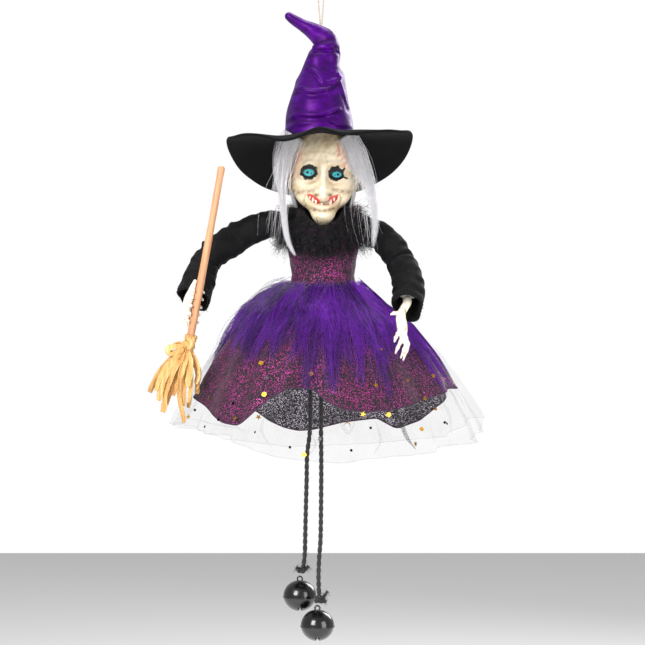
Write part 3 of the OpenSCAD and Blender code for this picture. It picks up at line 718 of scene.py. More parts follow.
def hat():
    line = curve(HAT_LINE, 12)
    path = np.stack([line[:, 0], np.zeros(len(line)), line[:, 1]], axis=1)
    radii = line[:, 2]
    path, radii = rounded(path, radii, 6)
    path, radii = path[6:], radii[6:]
    d = headings(path)
    u = np.cross([0, 1, 0], d)
    sides = 128
    a = np.arange(sides) * TAU / sides
    round_way = u[:, None] * np.cos(a)[None, :, None] + np.array([0, 1, 0]) * np.sin(a)[None, :, None]
    rows = path[:, None] + round_way * radii[:, None, None]
    # The lowest rings come down onto the bent brim
    foot = on_brim(np.full((1, 1), 25.4), a[None, :])[0]
    for i in range(13):
        share = i / 12
        rows[i] = rows[i] * share + (foot + (path[i] - path[0])) * (1 - share)
    # Folds across the front, each a ridge over a groove, and crushed pile all over
    s = np.linspace(0, 1, len(rows))[:, None]
    x, z = rows[..., 0], rows[..., 2]
    front = fade(-round_way[..., 1], -0.1, 0.35)
    out = np.zeros(rows.shape[:2])
    for line, width, high in HAT_FOLDS:
        out += 1.9 * front * high * (crease(x, z, line, width) - 0.8
                                     * crease(x, z + width * 1.7, line, width))
    for at, phase, high, wide in ((0.10, 3.4, 1.2, 0.02), (0.19, 1.2, 1.3, 0.022), (0.3, 2.2, 1.1, 0.024),
                                  (0.47, 0.6, 0.9, 0.014)):
        out += (1 - front) * high * bump(s, at + 0.02 * np.sin(a + phase)[None, :],
                                         wide) * np.sin(a * 2 + phase)
    out += wobble(rows, 24, 3, 2) * 0.55 * np.minimum(1, radii / 8)[:, None]
    # The bend: the upper part hangs a little over a sharp crease
    out += front * (1.5 * bump(z, -49, 2.6) - 2.4 * bump(z, -53.3, 1.2)) * fade(x, -9, -4) * fade(-z, 40, 46)
    rows = rows + round_way * (out * np.minimum(1, 3 * s + 0.3))[..., None]
    verts = rows.reshape(-1, 3)
    n = len(verts)
    verts = np.vstack([verts, path[-1] + d[-1] * 0.2])
    cone = make("velvet_hat", verts, [grid(len(rows), sides), fan(n, n - sides, sides)], VELVET)
    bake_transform(cone)
    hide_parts("hat_cone", "hat_tip")
    # Stitches where the cone meets the brim
    stitches = []
    for t in np.arange(0, TAU, TAU / 44):
        ends = on_brim(np.array([25.6, 27.8]), np.array([t, t + 0.03]))
        ends[:, 2] += [0.9, 0.15]
        stitches.append(tube(curve([ends[0], (ends[0] + ends[1]) / 2 + [0, 0, 0.35], ends[1]], 3), 0.22, 6))
    verts, faces = join(stitches)
    make("hat_stitches", verts, faces, CORD, "figure", "black_felt")


brim()
hat()


# ---------- Head ----------

BODY_X = 1.5
HEAD_Z = [-181, -178, -175, -172, -169.5, -166.5, -163, -158, -153, -150, -143, -135, -130, -120, -112, -105,
          -101]
HEAD_HALF = [2.6, 6.2, 8.2, 9.2, 10.6, 14.6, 18.4, 21.4, 23.2, 23.6, 23.8, 23, 22.6, 20, 16.5, 10.5, 2]
HEAD_FRONT = [14, 20, 23, 22.5, 21.2, 21.2, 21.8, 22.2, 22.4, 22.2, 21.8, 22.4, 22.8, 21, 17, 11, 3]
HEAD_BACK = [-11, -9, -6, -3, 0, 3, 7, 11.5, 14, 15.5, 17, 17.2, 17, 13.5, 10.5, 5.5, 1]
NOSE_Z = [-168, -166, -164.5, -162.5, -160, -156, -152, -147, -142, -137, -133]
NOSE_OUT = [0, 0.6, 4.5, 8.2, 8.8, 7.4, 5.8, 4.0, 2.6, 1.2, 0]
NOSE_HALF = [3.0, 3.0, 3.4, 4.0, 4.4, 4.0, 3.2, 2.7, 2.6, 3.2, 4]
EYES = [(-8.6, -142.6, 6.4, 5.6), (11, -143.9, 5.8, 5.4)]
IRISES = [(-8.9, -142.9, 3.8, 2.5, -9.8, -142.8), (11.5, -144.4, 3.4, 2.1, 12.3, -144.4)]
MOUTH_RED = [[(-10.6, -158.4), (-7.7, -158.4), (-3.7, -160.7), (-1.6, -162.5), (-0.2, -164.7),
              (-3.2, -166.0),
              (-5.4, -164.6), (-8, -162.0)],
             [(12.8, -158.6), (11.8, -162.4), (8.6, -165.6), (5.4, -163.6), (6.0, -161.0)]]


def oval_at(x, z, cx, cz, rx, rz):
    return np.sqrt(((x - cx) / rx) ** 2 + ((z - cz) / rz) ** 2)


def inside(x, z, outline):
    """Whether each point is inside the outline in the plane of the face."""
    hit = np.zeros(x.shape, bool)
    for (x1, z1), (x2, z2) in zip(outline, outline[1:] + outline[:1]):
        cross = (z1 > z) != (z2 > z)
        hit ^= cross & (x < (x2 - x1) * (z - z1) / (z2 - z1 + 1e-12) + x1)
    return hit


FOLDS = [([(-5.4, -156.2), (-7.5, -156.4), (-11.5, -157), (-15.5, -157.6), (-19, -156.6)], 1.3, 1.0),
         ([(9.2, -155.4), (12, -156), (16, -157), (20.5, -156.4)], 1.3, 1.0),
         ([(-13.5, -149.6), (-9, -151), (-4.5, -149.2)], 0.9, 0.5),
         ([(6.5, -150.8), (11, -152.2), (16, -150.6)], 0.9, 0.5),
         ([(-6.4, -169.6), (-1, -170.6), (4, -170.6), (9.4, -169.4)], 1.0, 1.4),
         ([(-11.2, -158.8), (-12.6, -162.4), (-11.2, -166.8)], 0.7, 0.9),
         ([(13.6, -159), (14.8, -162.4), (13, -166.6)], 0.7, 0.9),
         ([(-1.5, -137.5), (-1.9, -133.5), (-0.6, -130.5)], 0.7, 0.4),
         ([(4.2, -137.8), (4.4, -133.8), (3.2, -130.6)], 0.7, 0.4),
         ([(-14, -129.5), (-5, -127.6), (4, -128.2), (13, -129.4)], 0.8, 0.22)]


def head():
    levels = np.concatenate([np.linspace(-181, -168, 44), np.linspace(-167.7, -136, 96),
                             np.linspace(-135.4, -101, 46)])
    a = np.concatenate([np.linspace(math.pi, TAU, 181)[:-1], np.linspace(0, math.pi, 81)[:-1]])
    z = np.broadcast_to(levels[:, None], (len(levels), len(a)))
    def table(values):
        raw = np.interp(np.linspace(-181, -101, 400), HEAD_Z, values)
        raw = np.convolve(np.pad(raw, 9, mode="edge"), np.ones(19) / 19, "valid")
        return np.interp(levels, np.linspace(-181, -101, 400), raw)[:, None]
    half, front, back = table(HEAD_HALF), table(HEAD_FRONT), table(HEAD_BACK)
    c, s = np.cos(a)[None], np.sin(a)[None]
    mid, deep = (back - front) / 2, (back + front) / 2
    x = BODY_X + half * c
    y = mid + deep * np.sign(s) * np.abs(s) ** 0.86
    face = fade(-s, 0.08, 0.5)
    out = np.zeros(x.shape)
    nose_w = np.interp(levels, NOSE_Z, NOSE_HALF)[:, None]
    out += np.interp(levels, NOSE_Z, NOSE_OUT)[:, None] * np.exp(-np.abs((x - 1.6) / nose_w) ** 2.3)
    for cx, cz, rx, rz, h in ((-4.2, -156.6, 2.9, 2.7, 3.8), (7.6, -156.2, 3.0, 2.8, 3.8),
                              (1.9, -160.8, 3.6, 3.0, 1.2),
                              (-13.6, -151, 6.6, 5.2, 2.6), (16.4, -151.6, 6.2, 5.2, 2.6),
                              (1.75, -174.6, 7.4, 4.8, 3.0), (-9, -136.2, 6.4, 2.4, 1.7),
                              (11.5, -137, 6.2, 2.4, 1.7),
                              (-12, -164.4, 5, 4.6, 0.9), (15, -164.4, 5, 4.6, 0.9), (2, -124, 13, 6, 0.8),
                              (-5, -167.4, 3.6, 1.6, 1.2), (7.4, -167.2, 3.6, 1.6, 1.2),
                              (1.6, -168, 4, 1.3, 1.0)):
        out += h * np.exp(-oval_at(x, z, cx, cz, rx, rz) ** 2.4)
    for (cx, cz, rx, rz), (ix, iz, irx, irz, _, _) in zip(EYES, IRISES):
        out -= 3.0 * np.exp(-oval_at(x, z, cx, cz, rx * 0.92, rz * 0.92) ** 2.6)
        out += 2.3 * np.exp(-oval_at(x, z, ix, iz, 4.0, 3.4) ** 2.2)
        lid = oval_at(x, z, ix, iz, irx + 1.5, irz + 1.2)
        out += 0.9 * bump(lid, 1.15, 0.14)
    for line, width, deep_by in FOLDS:
        out -= deep_by * crease(x, z, line, width)
    mouth = np.zeros(x.shape)
    for outline in MOUTH_RED:
        mouth = np.maximum(mouth, inside(x, z, outline))
    slot = crease(x, z, [(-10.2, -159.4), (-5, -163.6), (1.7, -166.0), (8, -164.8), (12.2, -159.8)], 1.0)
    out -= 1.3 * np.maximum(mouth, slot)
    out += 0.22 * wobble(np.stack([x, y, z], -1), 9, 21, 3)
    # Ears, seen at the edges of the cheeks
    for side in (-1, 1):
        flap = np.exp(-oval_at(y, z, 1.5, -149, 4.5, 7.5) ** 3)
        ridge = bump(oval_at(y, z, 1.5, -149, 4.2, 7), 0.8, 0.22)
        x = x + side * (1.9 * flap + 1.2 * ridge) * fade(side * c, 0.55, 0.85)
    y = y - out * face
    verts = np.stack([x, y, z], -1)
    skin = paint_face(x, z, face)
    n = verts.shape[0] * verts.shape[1]
    low, high = fan(n, 0, len(a), flip=True), fan(n + 1, n - len(a), len(a))
    flat = np.vstack([verts.reshape(-1, 3), [BODY_X, -15, -181.4], [BODY_X, -1, -100.6]])
    tones = np.vstack([skin.reshape(-1, 3), skin[0, :1], skin[-1, :1]])
    make("painted_face", flat, [grid(len(levels), len(a)), low, high], SKIN, "figure", "cream_plastic",
         ["head"],
         paint=tones)
    return verts


def blot(colour, mask, tint):
    return colour * (1 - mask[..., None]) + np.array(tint) * mask[..., None]


def paint_face(x, z, face):
    """The head's painted colours, point by point, with painted shade and painted highlights laid in."""
    p = np.stack([x, z], -1)
    rough = wobble(p, 3.4, 31, 3)
    coarse = wobble(p, 14, 33, 3)
    colour = np.broadcast_to(np.array(srgb(240, 228, 202)), (*x.shape, 3)).copy()
    colour = blot(colour, np.clip(0.35 + 0.4 * coarse, 0, 0.6), srgb(226, 208, 172))
    brown, pink, red = srgb(122, 88, 56), srgb(214, 132, 118), srgb(214, 26, 20)
    shadow = np.zeros(x.shape)
    for line, width, strength in FOLDS:
        shadow = np.maximum(shadow, crease(x, z, line, width * 1.25) * min(1, strength * 0.62))
    colour = blot(colour, np.clip(shadow * (0.8 + 0.3 * rough), 0, 0.85), srgb(104, 72, 46))
    # Painted shade down the sides of the face, beside the hair
    side = fade(np.abs(x - BODY_X), 17, 24) * fade(-np.abs(z + 150), -40, -8)
    colour = blot(colour, np.clip(side * 0.5 * (0.8 + 0.5 * rough), 0, 0.6), brown)
    # Painted shade across the top of the forehead, under the brim
    brim_shade = fade(z, -128, -119) * 0.55
    colour = blot(colour, np.clip(brim_shade * (0.8 + 0.6 * coarse), 0, 0.6), srgb(150, 118, 80))
    # Painted shade under the cheeks, at the corners of the jaw
    jaw_shade = (np.exp(-oval_at(x, z, 12.5, -168, 4.5, 4) ** 2)
           + 0.7 * np.exp(-oval_at(x, z, -9.6, -168.5, 4, 3.5) ** 2))
    colour = blot(colour, np.clip(jaw_shade * 0.6, 0, 0.7), brown)
    # Painted shade in the nostrils and under the nose tip
    nostril = sum(np.exp(-oval_at(x, z, cx, -159.6, 1.7, 1.0) ** 2) for cx in (-3.4, 6.8))
    under = crease(x, z, [(-3, -164.2), (1.8, -165.2), (6, -163.8)], 0.8)
    colour = blot(colour, np.clip(nostril + 0.7 * under, 0, 0.85), srgb(96, 62, 42))
    # Painted shade round the eye sockets
    ring = sum(bump(oval_at(x, z, e[0], e[1] - 0.3, e[2] + 1.6, e[3] + 1.8), 1.0, 0.2) for e in EYES)
    colour = blot(colour, np.clip(ring * 0.4, 0, 0.5), srgb(150, 112, 84))
    for cx, cz, rx, rz, k in ((-17, -131, 4.5, 5.5, 0.5), (18, -133, 4, 6, 0.55),
                              (-20.4, -143, 2.6, 5, 0.45),
                              (12.6, -128, 2.2, 5, 0.4), (1.9, -162.2, 3, 1.8, 0.18),
                              (-13, -152, 5, 3, 0.15),
                              (16, -153, 5, 3, 0.15)):
        colour = blot(colour, np.clip(k * np.exp(-oval_at(x, z, cx, cz, rx, rz) ** 2) * (0.9 + 0.7 * rough),
                                      0, 0.7), pink)
    for line in ([(17.4, -124), (16, -129), (18.2, -134), (17, -139)],
                 [(12, -122), (13.2, -127), (12.2, -131)],
                 [(-17.6, -126), (-16.2, -131), (-18, -136)]):
        colour = blot(colour, np.clip(0.75 * crease(x, z, line, 0.45), 0, 0.8), srgb(196, 84, 78))
    # Painted highlights down the nose ridge, on the cheekbones, over the brows and on the chin
    lit = np.exp(-np.abs((x - 1.9) / 2.4) ** 3) * fade(z, -164.5, -160) * fade(-z, 136, 141)
    cheek = sum(np.exp(-oval_at(x, z, cx, -149.6, 4.6, 2.8) ** 2) for cx in (-14, 17))
    brow = (sum(np.exp(-oval_at(x, z, cx, -135, 5, 2) ** 2) for cx in (-8, 11))
            + np.exp(-oval_at(x, z, 2, -174, 5, 2.6) ** 2))
    colour = blot(colour, np.clip(0.8 * lit + 0.5 * cheek + 0.5 * brow, 0, 0.85), srgb(250, 244, 226))
    # Ragged black round each eye, then the iris and its dark middle
    ragged = 1.04 + 0.07 * wobble(p, 4.2, 41, 2) + 0.03 * wobble(p, 1.6, 43, 2)
    for (cx, cz, rx, rz), (ix, iz, irx, irz, px, pz) in zip(EYES, IRISES):
        patch = fade(-oval_at(x, z, cx, cz, rx, rz) / ragged, -1.04, -0.93)
        colour = blot(colour, patch, srgb(10, 10, 10))
        iris = fade(-oval_at(x, z, ix, iz, irx, irz), -1.06, -0.9)
        colour = blot(colour, iris, srgb(10, 150, 168))
        colour = blot(colour, iris * np.clip(0.5 + wobble(p, 1.6, 45, 2), 0, 1) * 0.6, srgb(92, 214, 220))
        pupil = fade(-oval_at(x, z, px, pz, 1.1, 1.05), -1.1, -0.8)
        colour = blot(colour, pupil, srgb(6, 8, 10))
    for line, w in (([(15.4, -142), (17, -140)], 0.9), ([(15.8, -146), (19, -147)], 0.8)):
        colour = blot(colour, fade(crease(x, z, [line[0],
                                                 ((line[0][0] + line[1][0]) / 2,
                                                  (line[0][1] + line[1][1]) / 2),
                                                 line[1]], w), 0.35, 0.6), srgb(12, 12, 12))
    spot = fade(-oval_at(x, z, -7.1, -143.7, 0.7, 0.6), -1.1,
                -0.8) + fade(-oval_at(x, z, 10.2, -145, 0.5, 0.5), -1.1, -0.8)
    colour = blot(colour, np.clip(spot, 0, 1), srgb(10, 40, 50))
    mouth = np.zeros(x.shape)
    for outline in MOUTH_RED:
        mouth = np.maximum(mouth, inside(x, z, outline))
    colour = blot(colour, mouth * (0.92 + 0.05 * rough), red)
    line = crease(x, z, [(-9.6, -159.8), (-5, -164), (1.7, -166.2), (8, -165), (12, -160.4)], 0.55)
    colour = blot(colour, np.clip(line * 0.85, 0, 0.85), srgb(120, 20, 14))
    lip = crease(x, z, [(-9.8, -161.8), (-4.4, -166.4), (2, -167.8), (8, -167), (12.2, -162.6)], 0.6)
    colour = blot(colour, np.clip(lip * 0.35 * face, 0, 0.4), srgb(196, 120, 96))
    return colour


def front_of(surface, x, z):
    """Y of the face's surface at the point x, z."""
    part = surface[:, :181]
    row = np.argmin(np.abs(part[:, 0, 2] - z))
    col = np.argmin(np.abs(part[row, :, 0] - x))
    return part[row, col, 1]


def teeth(surface):
    """Small crooked pegs in the corners of the grin, and one big one."""
    parts = []
    for x, top, low, w, lean in ((-5.6, -161.6, -163.8, 0.8, -0.2), (-3.7, -162.6, -165.4, 0.95, 0.1),
                                 (0.5, -164.8, -166.4, 0.8, 0.1), (6.7, -162.4, -166.0, 1.25, 0.15),
                                 (9.4, -161.4, -163.4, 0.8, 0.2), (-7.8, -160.3, -161.7, 0.6, -0.2)):
        y = front_of(surface, x, (top + low) / 2) - 0.35
        path = curve([[x, y + 0.5, top], [x + lean * 0.5, y - 0.25, (top + low) / 2], [x + lean, y, low]], 5)
        path, radii = rounded(path, np.interp(np.linspace(0, 1, len(path)), [0, 0.5, 1], [w, w, w * 0.55]),
                              3)
        parts.append(tube(path, radii, 12, flat=0.7))
    verts, faces = join(parts)
    make("crooked_teeth", verts, faces, TOOTH, "figure", "cream_plastic")


TOOTH = plain("painted teeth", srgb(232, 206, 196), srgb(250, 238, 226), 0.3, 600)
teeth(head())


# ---------- Hair ----------

LOCKS = {
    "right": [[-19, -18, -116, 4.8], [-22.5, -17, -122, 5.4], [-25.5, -16, -130, 5.2], [-28, -15, -142, 4.2],
              [-28.4, -16, -152, 2.8], [-27.6, -21, -166, 1.8], [-26, -25.5, -182, 1.5],
              [-23.4, -28, -194, 1.3],
              [-18.4, -29, -204, 0.8]],
    "left": [[17.5, -18, -116, 4.4], [21, -17, -122, 5.0], [25.5, -15.5, -132, 5.8], [30.5, -15, -142, 4.6],
             [35, -18, -152, 3.2], [37.6, -21, -166, 2.3], [39, -22.4, -180, 2.0], [37.6, -23, -198, 1.1]],
}


def lock_strands(path, count, rng, flat, stray, pts=26):
    """Fibres that run along a lock, some of them straying out of it."""
    line = curve(path, 10)
    at = np.linspace(0, 1, pts)
    u, v = side_vectors(line)
    s = np.linspace(0, 1, len(line))
    take = lambda arr: np.stack([np.interp(at, s, arr[:, k]) for k in range(arr.shape[1])], 1)
    centre, uu, vv, rr = take(line[:, :3]), take(u), take(v), np.interp(at, s, line[:, 3])
    spread = np.sqrt(rng.uniform(0, 1, count)) * np.where(rng.uniform(size=count) < stray,
                                                          rng.uniform(1.2, 2.3, count), 1)
    turn = rng.uniform(0, TAU, count)
    clump = rng.integers(0, 9, count)
    cu, cv = rng.normal(0, 0.28, (2, 9))[:, clump]
    drift = at[None, :] * rng.normal(0, 0.25, (count, 1))
    wave = 0.14 * np.sin(at[None, :] * rng.uniform(5, 11, (count, 1)) + rng.uniform(0, TAU, (count, 1)))
    pu = (spread * np.cos(turn))[:, None] * (1 - 0.25 * at) + cu[:, None] * at + drift + wave
    pv = (spread * np.sin(turn))[:, None] * (1 - 0.25 * at) + cv[:, None] * at + wave * 0.6
    lines = centre[None] + (uu[None] * pu[..., None] + vv[None] * pv[..., None] * flat) * rr[None, :, None]
    # Fibres end at different places along the lock
    stop = (rng.uniform(0.42, 1.0, count) ** 0.8)[:, None] * at[None, :]
    index = stop * (pts - 1)
    low = np.floor(index).astype(int)
    part = (index - low)[..., None]
    up = np.minimum(low + 1, pts - 1)
    rows = np.arange(count)[:, None]
    return lines[rows, low] * (1 - part) + lines[rows, up] * part


# The fall of hair at the back: depth below the hook, half width, and how far back it stands
BACK_DOWN = [101, 120, 143, 158, 172, 188, 204]
BACK_HALF = [12, 21.5, 25.2, 24, 21, 19.5, 15]
BACK_DEEP = [8, 15, 18.6, 20, 22.6, 26, 27.6]


def hair():
    rng = np.random.default_rng(7)
    for side, path in LOCKS.items():
        lines = lock_strands(path, 900, rng, 0.5, 0.2)
        strands(f"hair_{side}_lock", lines, 0.1, HAIR, np.clip(rng.normal(0.6, 0.25, 900), 0, 1),
                body="figure", slot="white_hair", nodes=[f"hair_{side}"])
        core = curve(path, 5)
        core = core[:len(core) // 2]
        v, f = tube(core, core[:, 3] * 0.3 * np.linspace(1, 0.4, len(core)), 12, flat=0.4)
        make(f"hair_{side}_core", v, f, HAIR_CORE, "figure", "white_hair")
    # Fine wisps that hang free beside the face
    for side, base, drop in (("right", (-27, -17, -136), (-9, -4, -62)),
                             ("left", (30, -17, -140), (7, -4, -58))):
        count = 46
        t = np.linspace(0, 1, 18)[None, :, None]
        start = np.array(base) + rng.normal(0, [3, 2, 6], (count, 3))
        end = start + np.array(drop) * rng.uniform(0.5, 1, (count, 1)) + rng.normal(0, [4, 2, 3], (count, 3))
        bow = rng.normal(0, 2.4, (count, 3)) * [1, 0.5, 0]
        lines = start[:, None] * (1 - t) + end[:, None] * t + bow[:, None] * np.sin(t * math.pi)
        strands(f"hair_{side}_wisps", lines, 0.09, HAIR, rng.uniform(0.4, 1, count), body="figure",
                slot="white_hair")
    # The back: combed down from under the hat over the skull to the shoulders
    count = 3600
    a = rng.uniform(-0.28, math.pi + 0.28, count)
    z = np.linspace(-117, -200, 24)
    reach = rng.uniform(0.8, 1.0, count)[:, None]
    zz = -117 + (z[None] + 117) * reach + 0 * a[:, None]
    w = np.interp(-zz, BACK_DOWN, BACK_HALF)
    d = np.interp(-zz, BACK_DOWN, BACK_DEEP)
    narrow = 1 - 0.25 * fade(-zz, 160, 204)
    layer = rng.uniform(0, 2.2, count)[:, None]
    wave = 0.5 * np.sin(zz * rng.uniform(0.06, 0.16, (count, 1)) + rng.uniform(0, TAU, (count, 1)))
    aa = a[:, None] + 0.05 * wave + 0.12 * np.sin(a * 17)[:, None] * fade(-zz, 130, 190)
    x = BODY_X + (w * narrow - layer) * np.cos(aa)
    low = fade(-zz, 166, 190)
    y = (d - layer) * (np.maximum(np.sin(aa), 0) ** 0.8 * (1 - low) + low
                       * (0.62 + 0.38 * np.maximum(np.sin(aa), 0)))
    lines = np.stack([x, y + 0.4 * wave, zz], -1)
    strands("hair_back_fall", lines, 0.15, HAIR, np.clip(rng.normal(0.6, 0.25, count), 0, 1), body="figure",
            slot="white_hair", nodes=["hair_back"])
    # A soft mass under the strands keeps the skull from showing through
    aa = np.linspace(-0.2, math.pi + 0.2, 49)[None]
    zz = np.linspace(-116, -190, 30)[:, None]
    w = np.interp(-zz, BACK_DOWN, BACK_HALF) - 2.1
    d = np.interp(-zz, BACK_DOWN, BACK_DEEP) - 2.1
    low = fade(-zz, 166, 190)
    sy = np.maximum(np.sin(aa), 0)
    outer = np.stack([BODY_X + w * (1 - 0.25 * fade(-zz, 160, 204)) * np.cos(aa),
                      d * (sy ** 0.8 * (1 - low) + low * (0.62 + 0.38 * sy)), zz + 0 * aa], -1)
    inner = outer - [0, 0.8, 0]
    both = np.concatenate([outer, inner[::-1]])
    make("hair_back_mass", both, grid(len(both), 49, wrap=False, closed=True), HAIR_CORE, "figure",
         "white_hair")


HAIR_CORE = plain("hair, matted", srgb(190, 187, 192), srgb(232, 230, 234), 0.55, 420, Sheen_Weight=0.3)
hair()


# ---------- Dress ----------

DEPTH = 0.76
BODICE_Z = [-230, -226, -217, -208, -196, -190, -186, -183, -181]
BODICE_HALF = [24.6, 24.5, 22.8, 24.2, 26.6, 25.6, 21.4, 13, 11]
SKIRT_Z = [-360, -330, -318, -300, -276, -253, -240, -230, -226]
SKIRT_W = [1.2, 1.14, 1.09, 1, 0.85, 0.66, 0.475, 0.32, 0.26]
SKIRT_HALF, SKIRT_MID = 93, 4
# Hem heights by X, as they look from the camera: front and back of the skirt, then the net's
HEM_FRONT = [(-96, -300), (-91.9, -303.6), (-79.4, -315.3), (-63.9, -324.9), (-55, -327), (-47, -322),
             (-38.2, -308.7),
             (-23.5, -299.4), (-7.3, -300.4), (4, -309), (14, -315), (30, -317), (47, -316), (65.4, -311),
             (81.6, -305.8),
             (96.3, -299)]
HEM_BACK = [(-96, -300), (-46.3, -317.5), (-36, -324), (-25, -329.3), (-15.4, -331.5), (-5, -330.8),
            (14, -325.6),
            (40, -322), (52.2, -330), (70.6, -323.4), (88.9, -308.7), (98, -299.9)]
NET_FRONT = [(-103, -321), (-99.2, -323.4), (-78, -330), (-55.9, -334), (-35.3, -345.5), (-11.8, -352),
             (12.5, -353.5),
             (39.7, -349), (65.4, -346.2), (94.1, -336.6), (107.3, -323.4), (111, -313)]
NET_BACK = [(-103, -321), (-60, -338), (-20, -344), (30, -342), (80, -336), (111, -313)]
VIEW_Z = VIEW_MIDDLE[1]


def bodice_ring(z, a, out=0.0):
    w = np.interp(z, BODICE_Z, BODICE_HALF)
    return np.stack([BODY_X + (w + out) * np.cos(a), (DEPTH * w + out) * np.sin(a), z + 0 * a], -1)


def bodice():
    z = np.linspace(-229, -182, 64)[:, None]
    a = np.linspace(0, TAU, 180, endpoint=False)[None]
    outer = bodice_ring(z, a)
    folds = 0.55 * wobble(np.stack([np.cos(a) * 20 + 0 * z, np.sin(a) * 20 + 0 * z, z * 0.5 + 0 * a], -1),
                          15, 51, 3)
    folds += 0.5 * np.sin(a * 15 + 0.6 * np.sin(a * 4)) * fade(-z, 216, 226)
    normal = np.stack([np.cos(a) + 0 * z, np.sin(a) + 0 * z, 0 * (a + z)], -1)
    outer += normal * folds[..., None]
    inner = outer - normal * 0.8
    both = np.concatenate([outer, inner[::-1]])
    piece = make("glitter_bodice", both, grid(len(both), 180, closed=True), GLITTER, "figure",
                 "glitter_cloth", ["bodice"])
    # Seam down the middle of the back
    line = [bodice_ring(np.array(v), np.array(math.pi / 2), 0.15) for v in np.linspace(-228, -190, 20)]
    v, f = tube(curve(line, 3), 0.35, 6)
    make("bodice_seam", v, f, CORD, "figure", "glitter_cloth")


def true_height(z, y):
    """The height at the depth y of what looks z high from the camera."""
    return VIEW_Z + (z - VIEW_Z) * (1 + y / VIEW_DISTANCE)


def hem_height(a, front, back):
    x = SKIRT_MID + SKIRT_HALF * 1.03 * np.cos(a)
    y = DEPTH * SKIRT_HALF * np.sin(a)
    looks = np.where(np.sin(a) < 0, np.interp(x, *zip(*front)), np.interp(x, *zip(*back)))
    smooth = looks.copy()
    for _ in range(3):
        smooth = (np.roll(smooth, 1) + smooth * 2 + np.roll(smooth, -1)) / 4
    return true_height(smooth, y)


def flare(a, z, s, out, folds):
    w = np.interp(z, SKIRT_Z, SKIRT_W) * SKIRT_HALF * (1 + folds * np.minimum(1, 1.6 * s))
    mid = BODY_X + (SKIRT_MID - BODY_X) * s
    return np.stack([mid + (w + out) * np.cos(a), (DEPTH * w + out) * np.sin(a), z], -1)


def skirt_folds(a):
    return (0.022 * np.cos(13 * a) + 0.016 * np.sin(9 * a + 1.2 * np.sin(2 * a) + 0.8)
            + 0.03 * bump(a, 4.16, 0.06) - 0.028 * bump(a, 4.32, 0.07) + 0.02 * bump(a, 5.1, 0.08) - 0.02
            * bump(a, 4.92, 0.06))


def skirt():
    cols, rows = 420, 70
    a = np.linspace(0, TAU, cols, endpoint=False)[None]
    s = np.linspace(0, 1, rows)[:, None]
    hem = hem_height(a[0], HEM_FRONT, HEM_BACK)[None]
    z = -228 + (hem + 228) * s
    outer = flare(a, z, s, 0.6, skirt_folds(a))
    outer[..., 0] += 0.5 * wobble(outer, 26, 61, 2) * s
    outer[..., 1] += 0.5 * wobble(outer, 26, 62, 2) * s
    shift = outer - flare(a, z, s, 0.6, skirt_folds(a))
    inner = flare(a, z, s, 0.0, skirt_folds(a)) + shift
    both = np.concatenate([outer, inner[::-1]])
    piece = make("glitter_skirt", both, grid(len(both), cols, closed=True), GLITTER, "figure",
                 "glitter_cloth", ["skirt"])
    piece.data.materials.append(SILVER)
    side = np.zeros(len(both) * cols, np.int32)
    side[rows * cols:(2 * rows - 1) * cols] = 1
    piece.data.polygons.foreach_set("material_index", side)
    # Rolled hem
    edge = (outer[-1] + inner[-1]) / 2
    closed = np.vstack([edge, edge[:1]])
    v, f = tube(closed, 0.55, 6)
    make("skirt_hem", v, f, HEM, "figure", "glitter_cloth")


def net_surface(cols, rows):
    a = np.linspace(0, TAU, cols, endpoint=False)[None]
    s = np.linspace(0, 1, rows)[:, None]
    hem = hem_height(a[0], NET_FRONT, NET_BACK)[None]
    z = -226 + (hem + 226) * s
    folds = (skirt_folds(a) + 0.026 * s * np.sin(17 * a + 2.2 * np.sin(3 * a))
             + 0.02 * s * np.sin(29 * a + 1.7 * np.sin(5 * a)) + 0.014 * s)
    w = flare(a, z, s, 1.5 + 4.2 * s, folds)
    w[..., 0] += 1.3 * wobble(w, 30, 63, 2) * s
    w[..., 1] += 1.3 * wobble(w, 30, 64, 2) * s
    return w


def looks_at(points):
    """Where the points appear in the plane of the photograph, in mm."""
    grow = VIEW_DISTANCE / (VIEW_DISTANCE + points[..., 1])
    return np.stack([VIEW_MIDDLE[0] + (points[..., 0] - VIEW_MIDDLE[0]) * grow,
                     VIEW_Z + (points[..., 2] - VIEW_Z) * grow], -1)


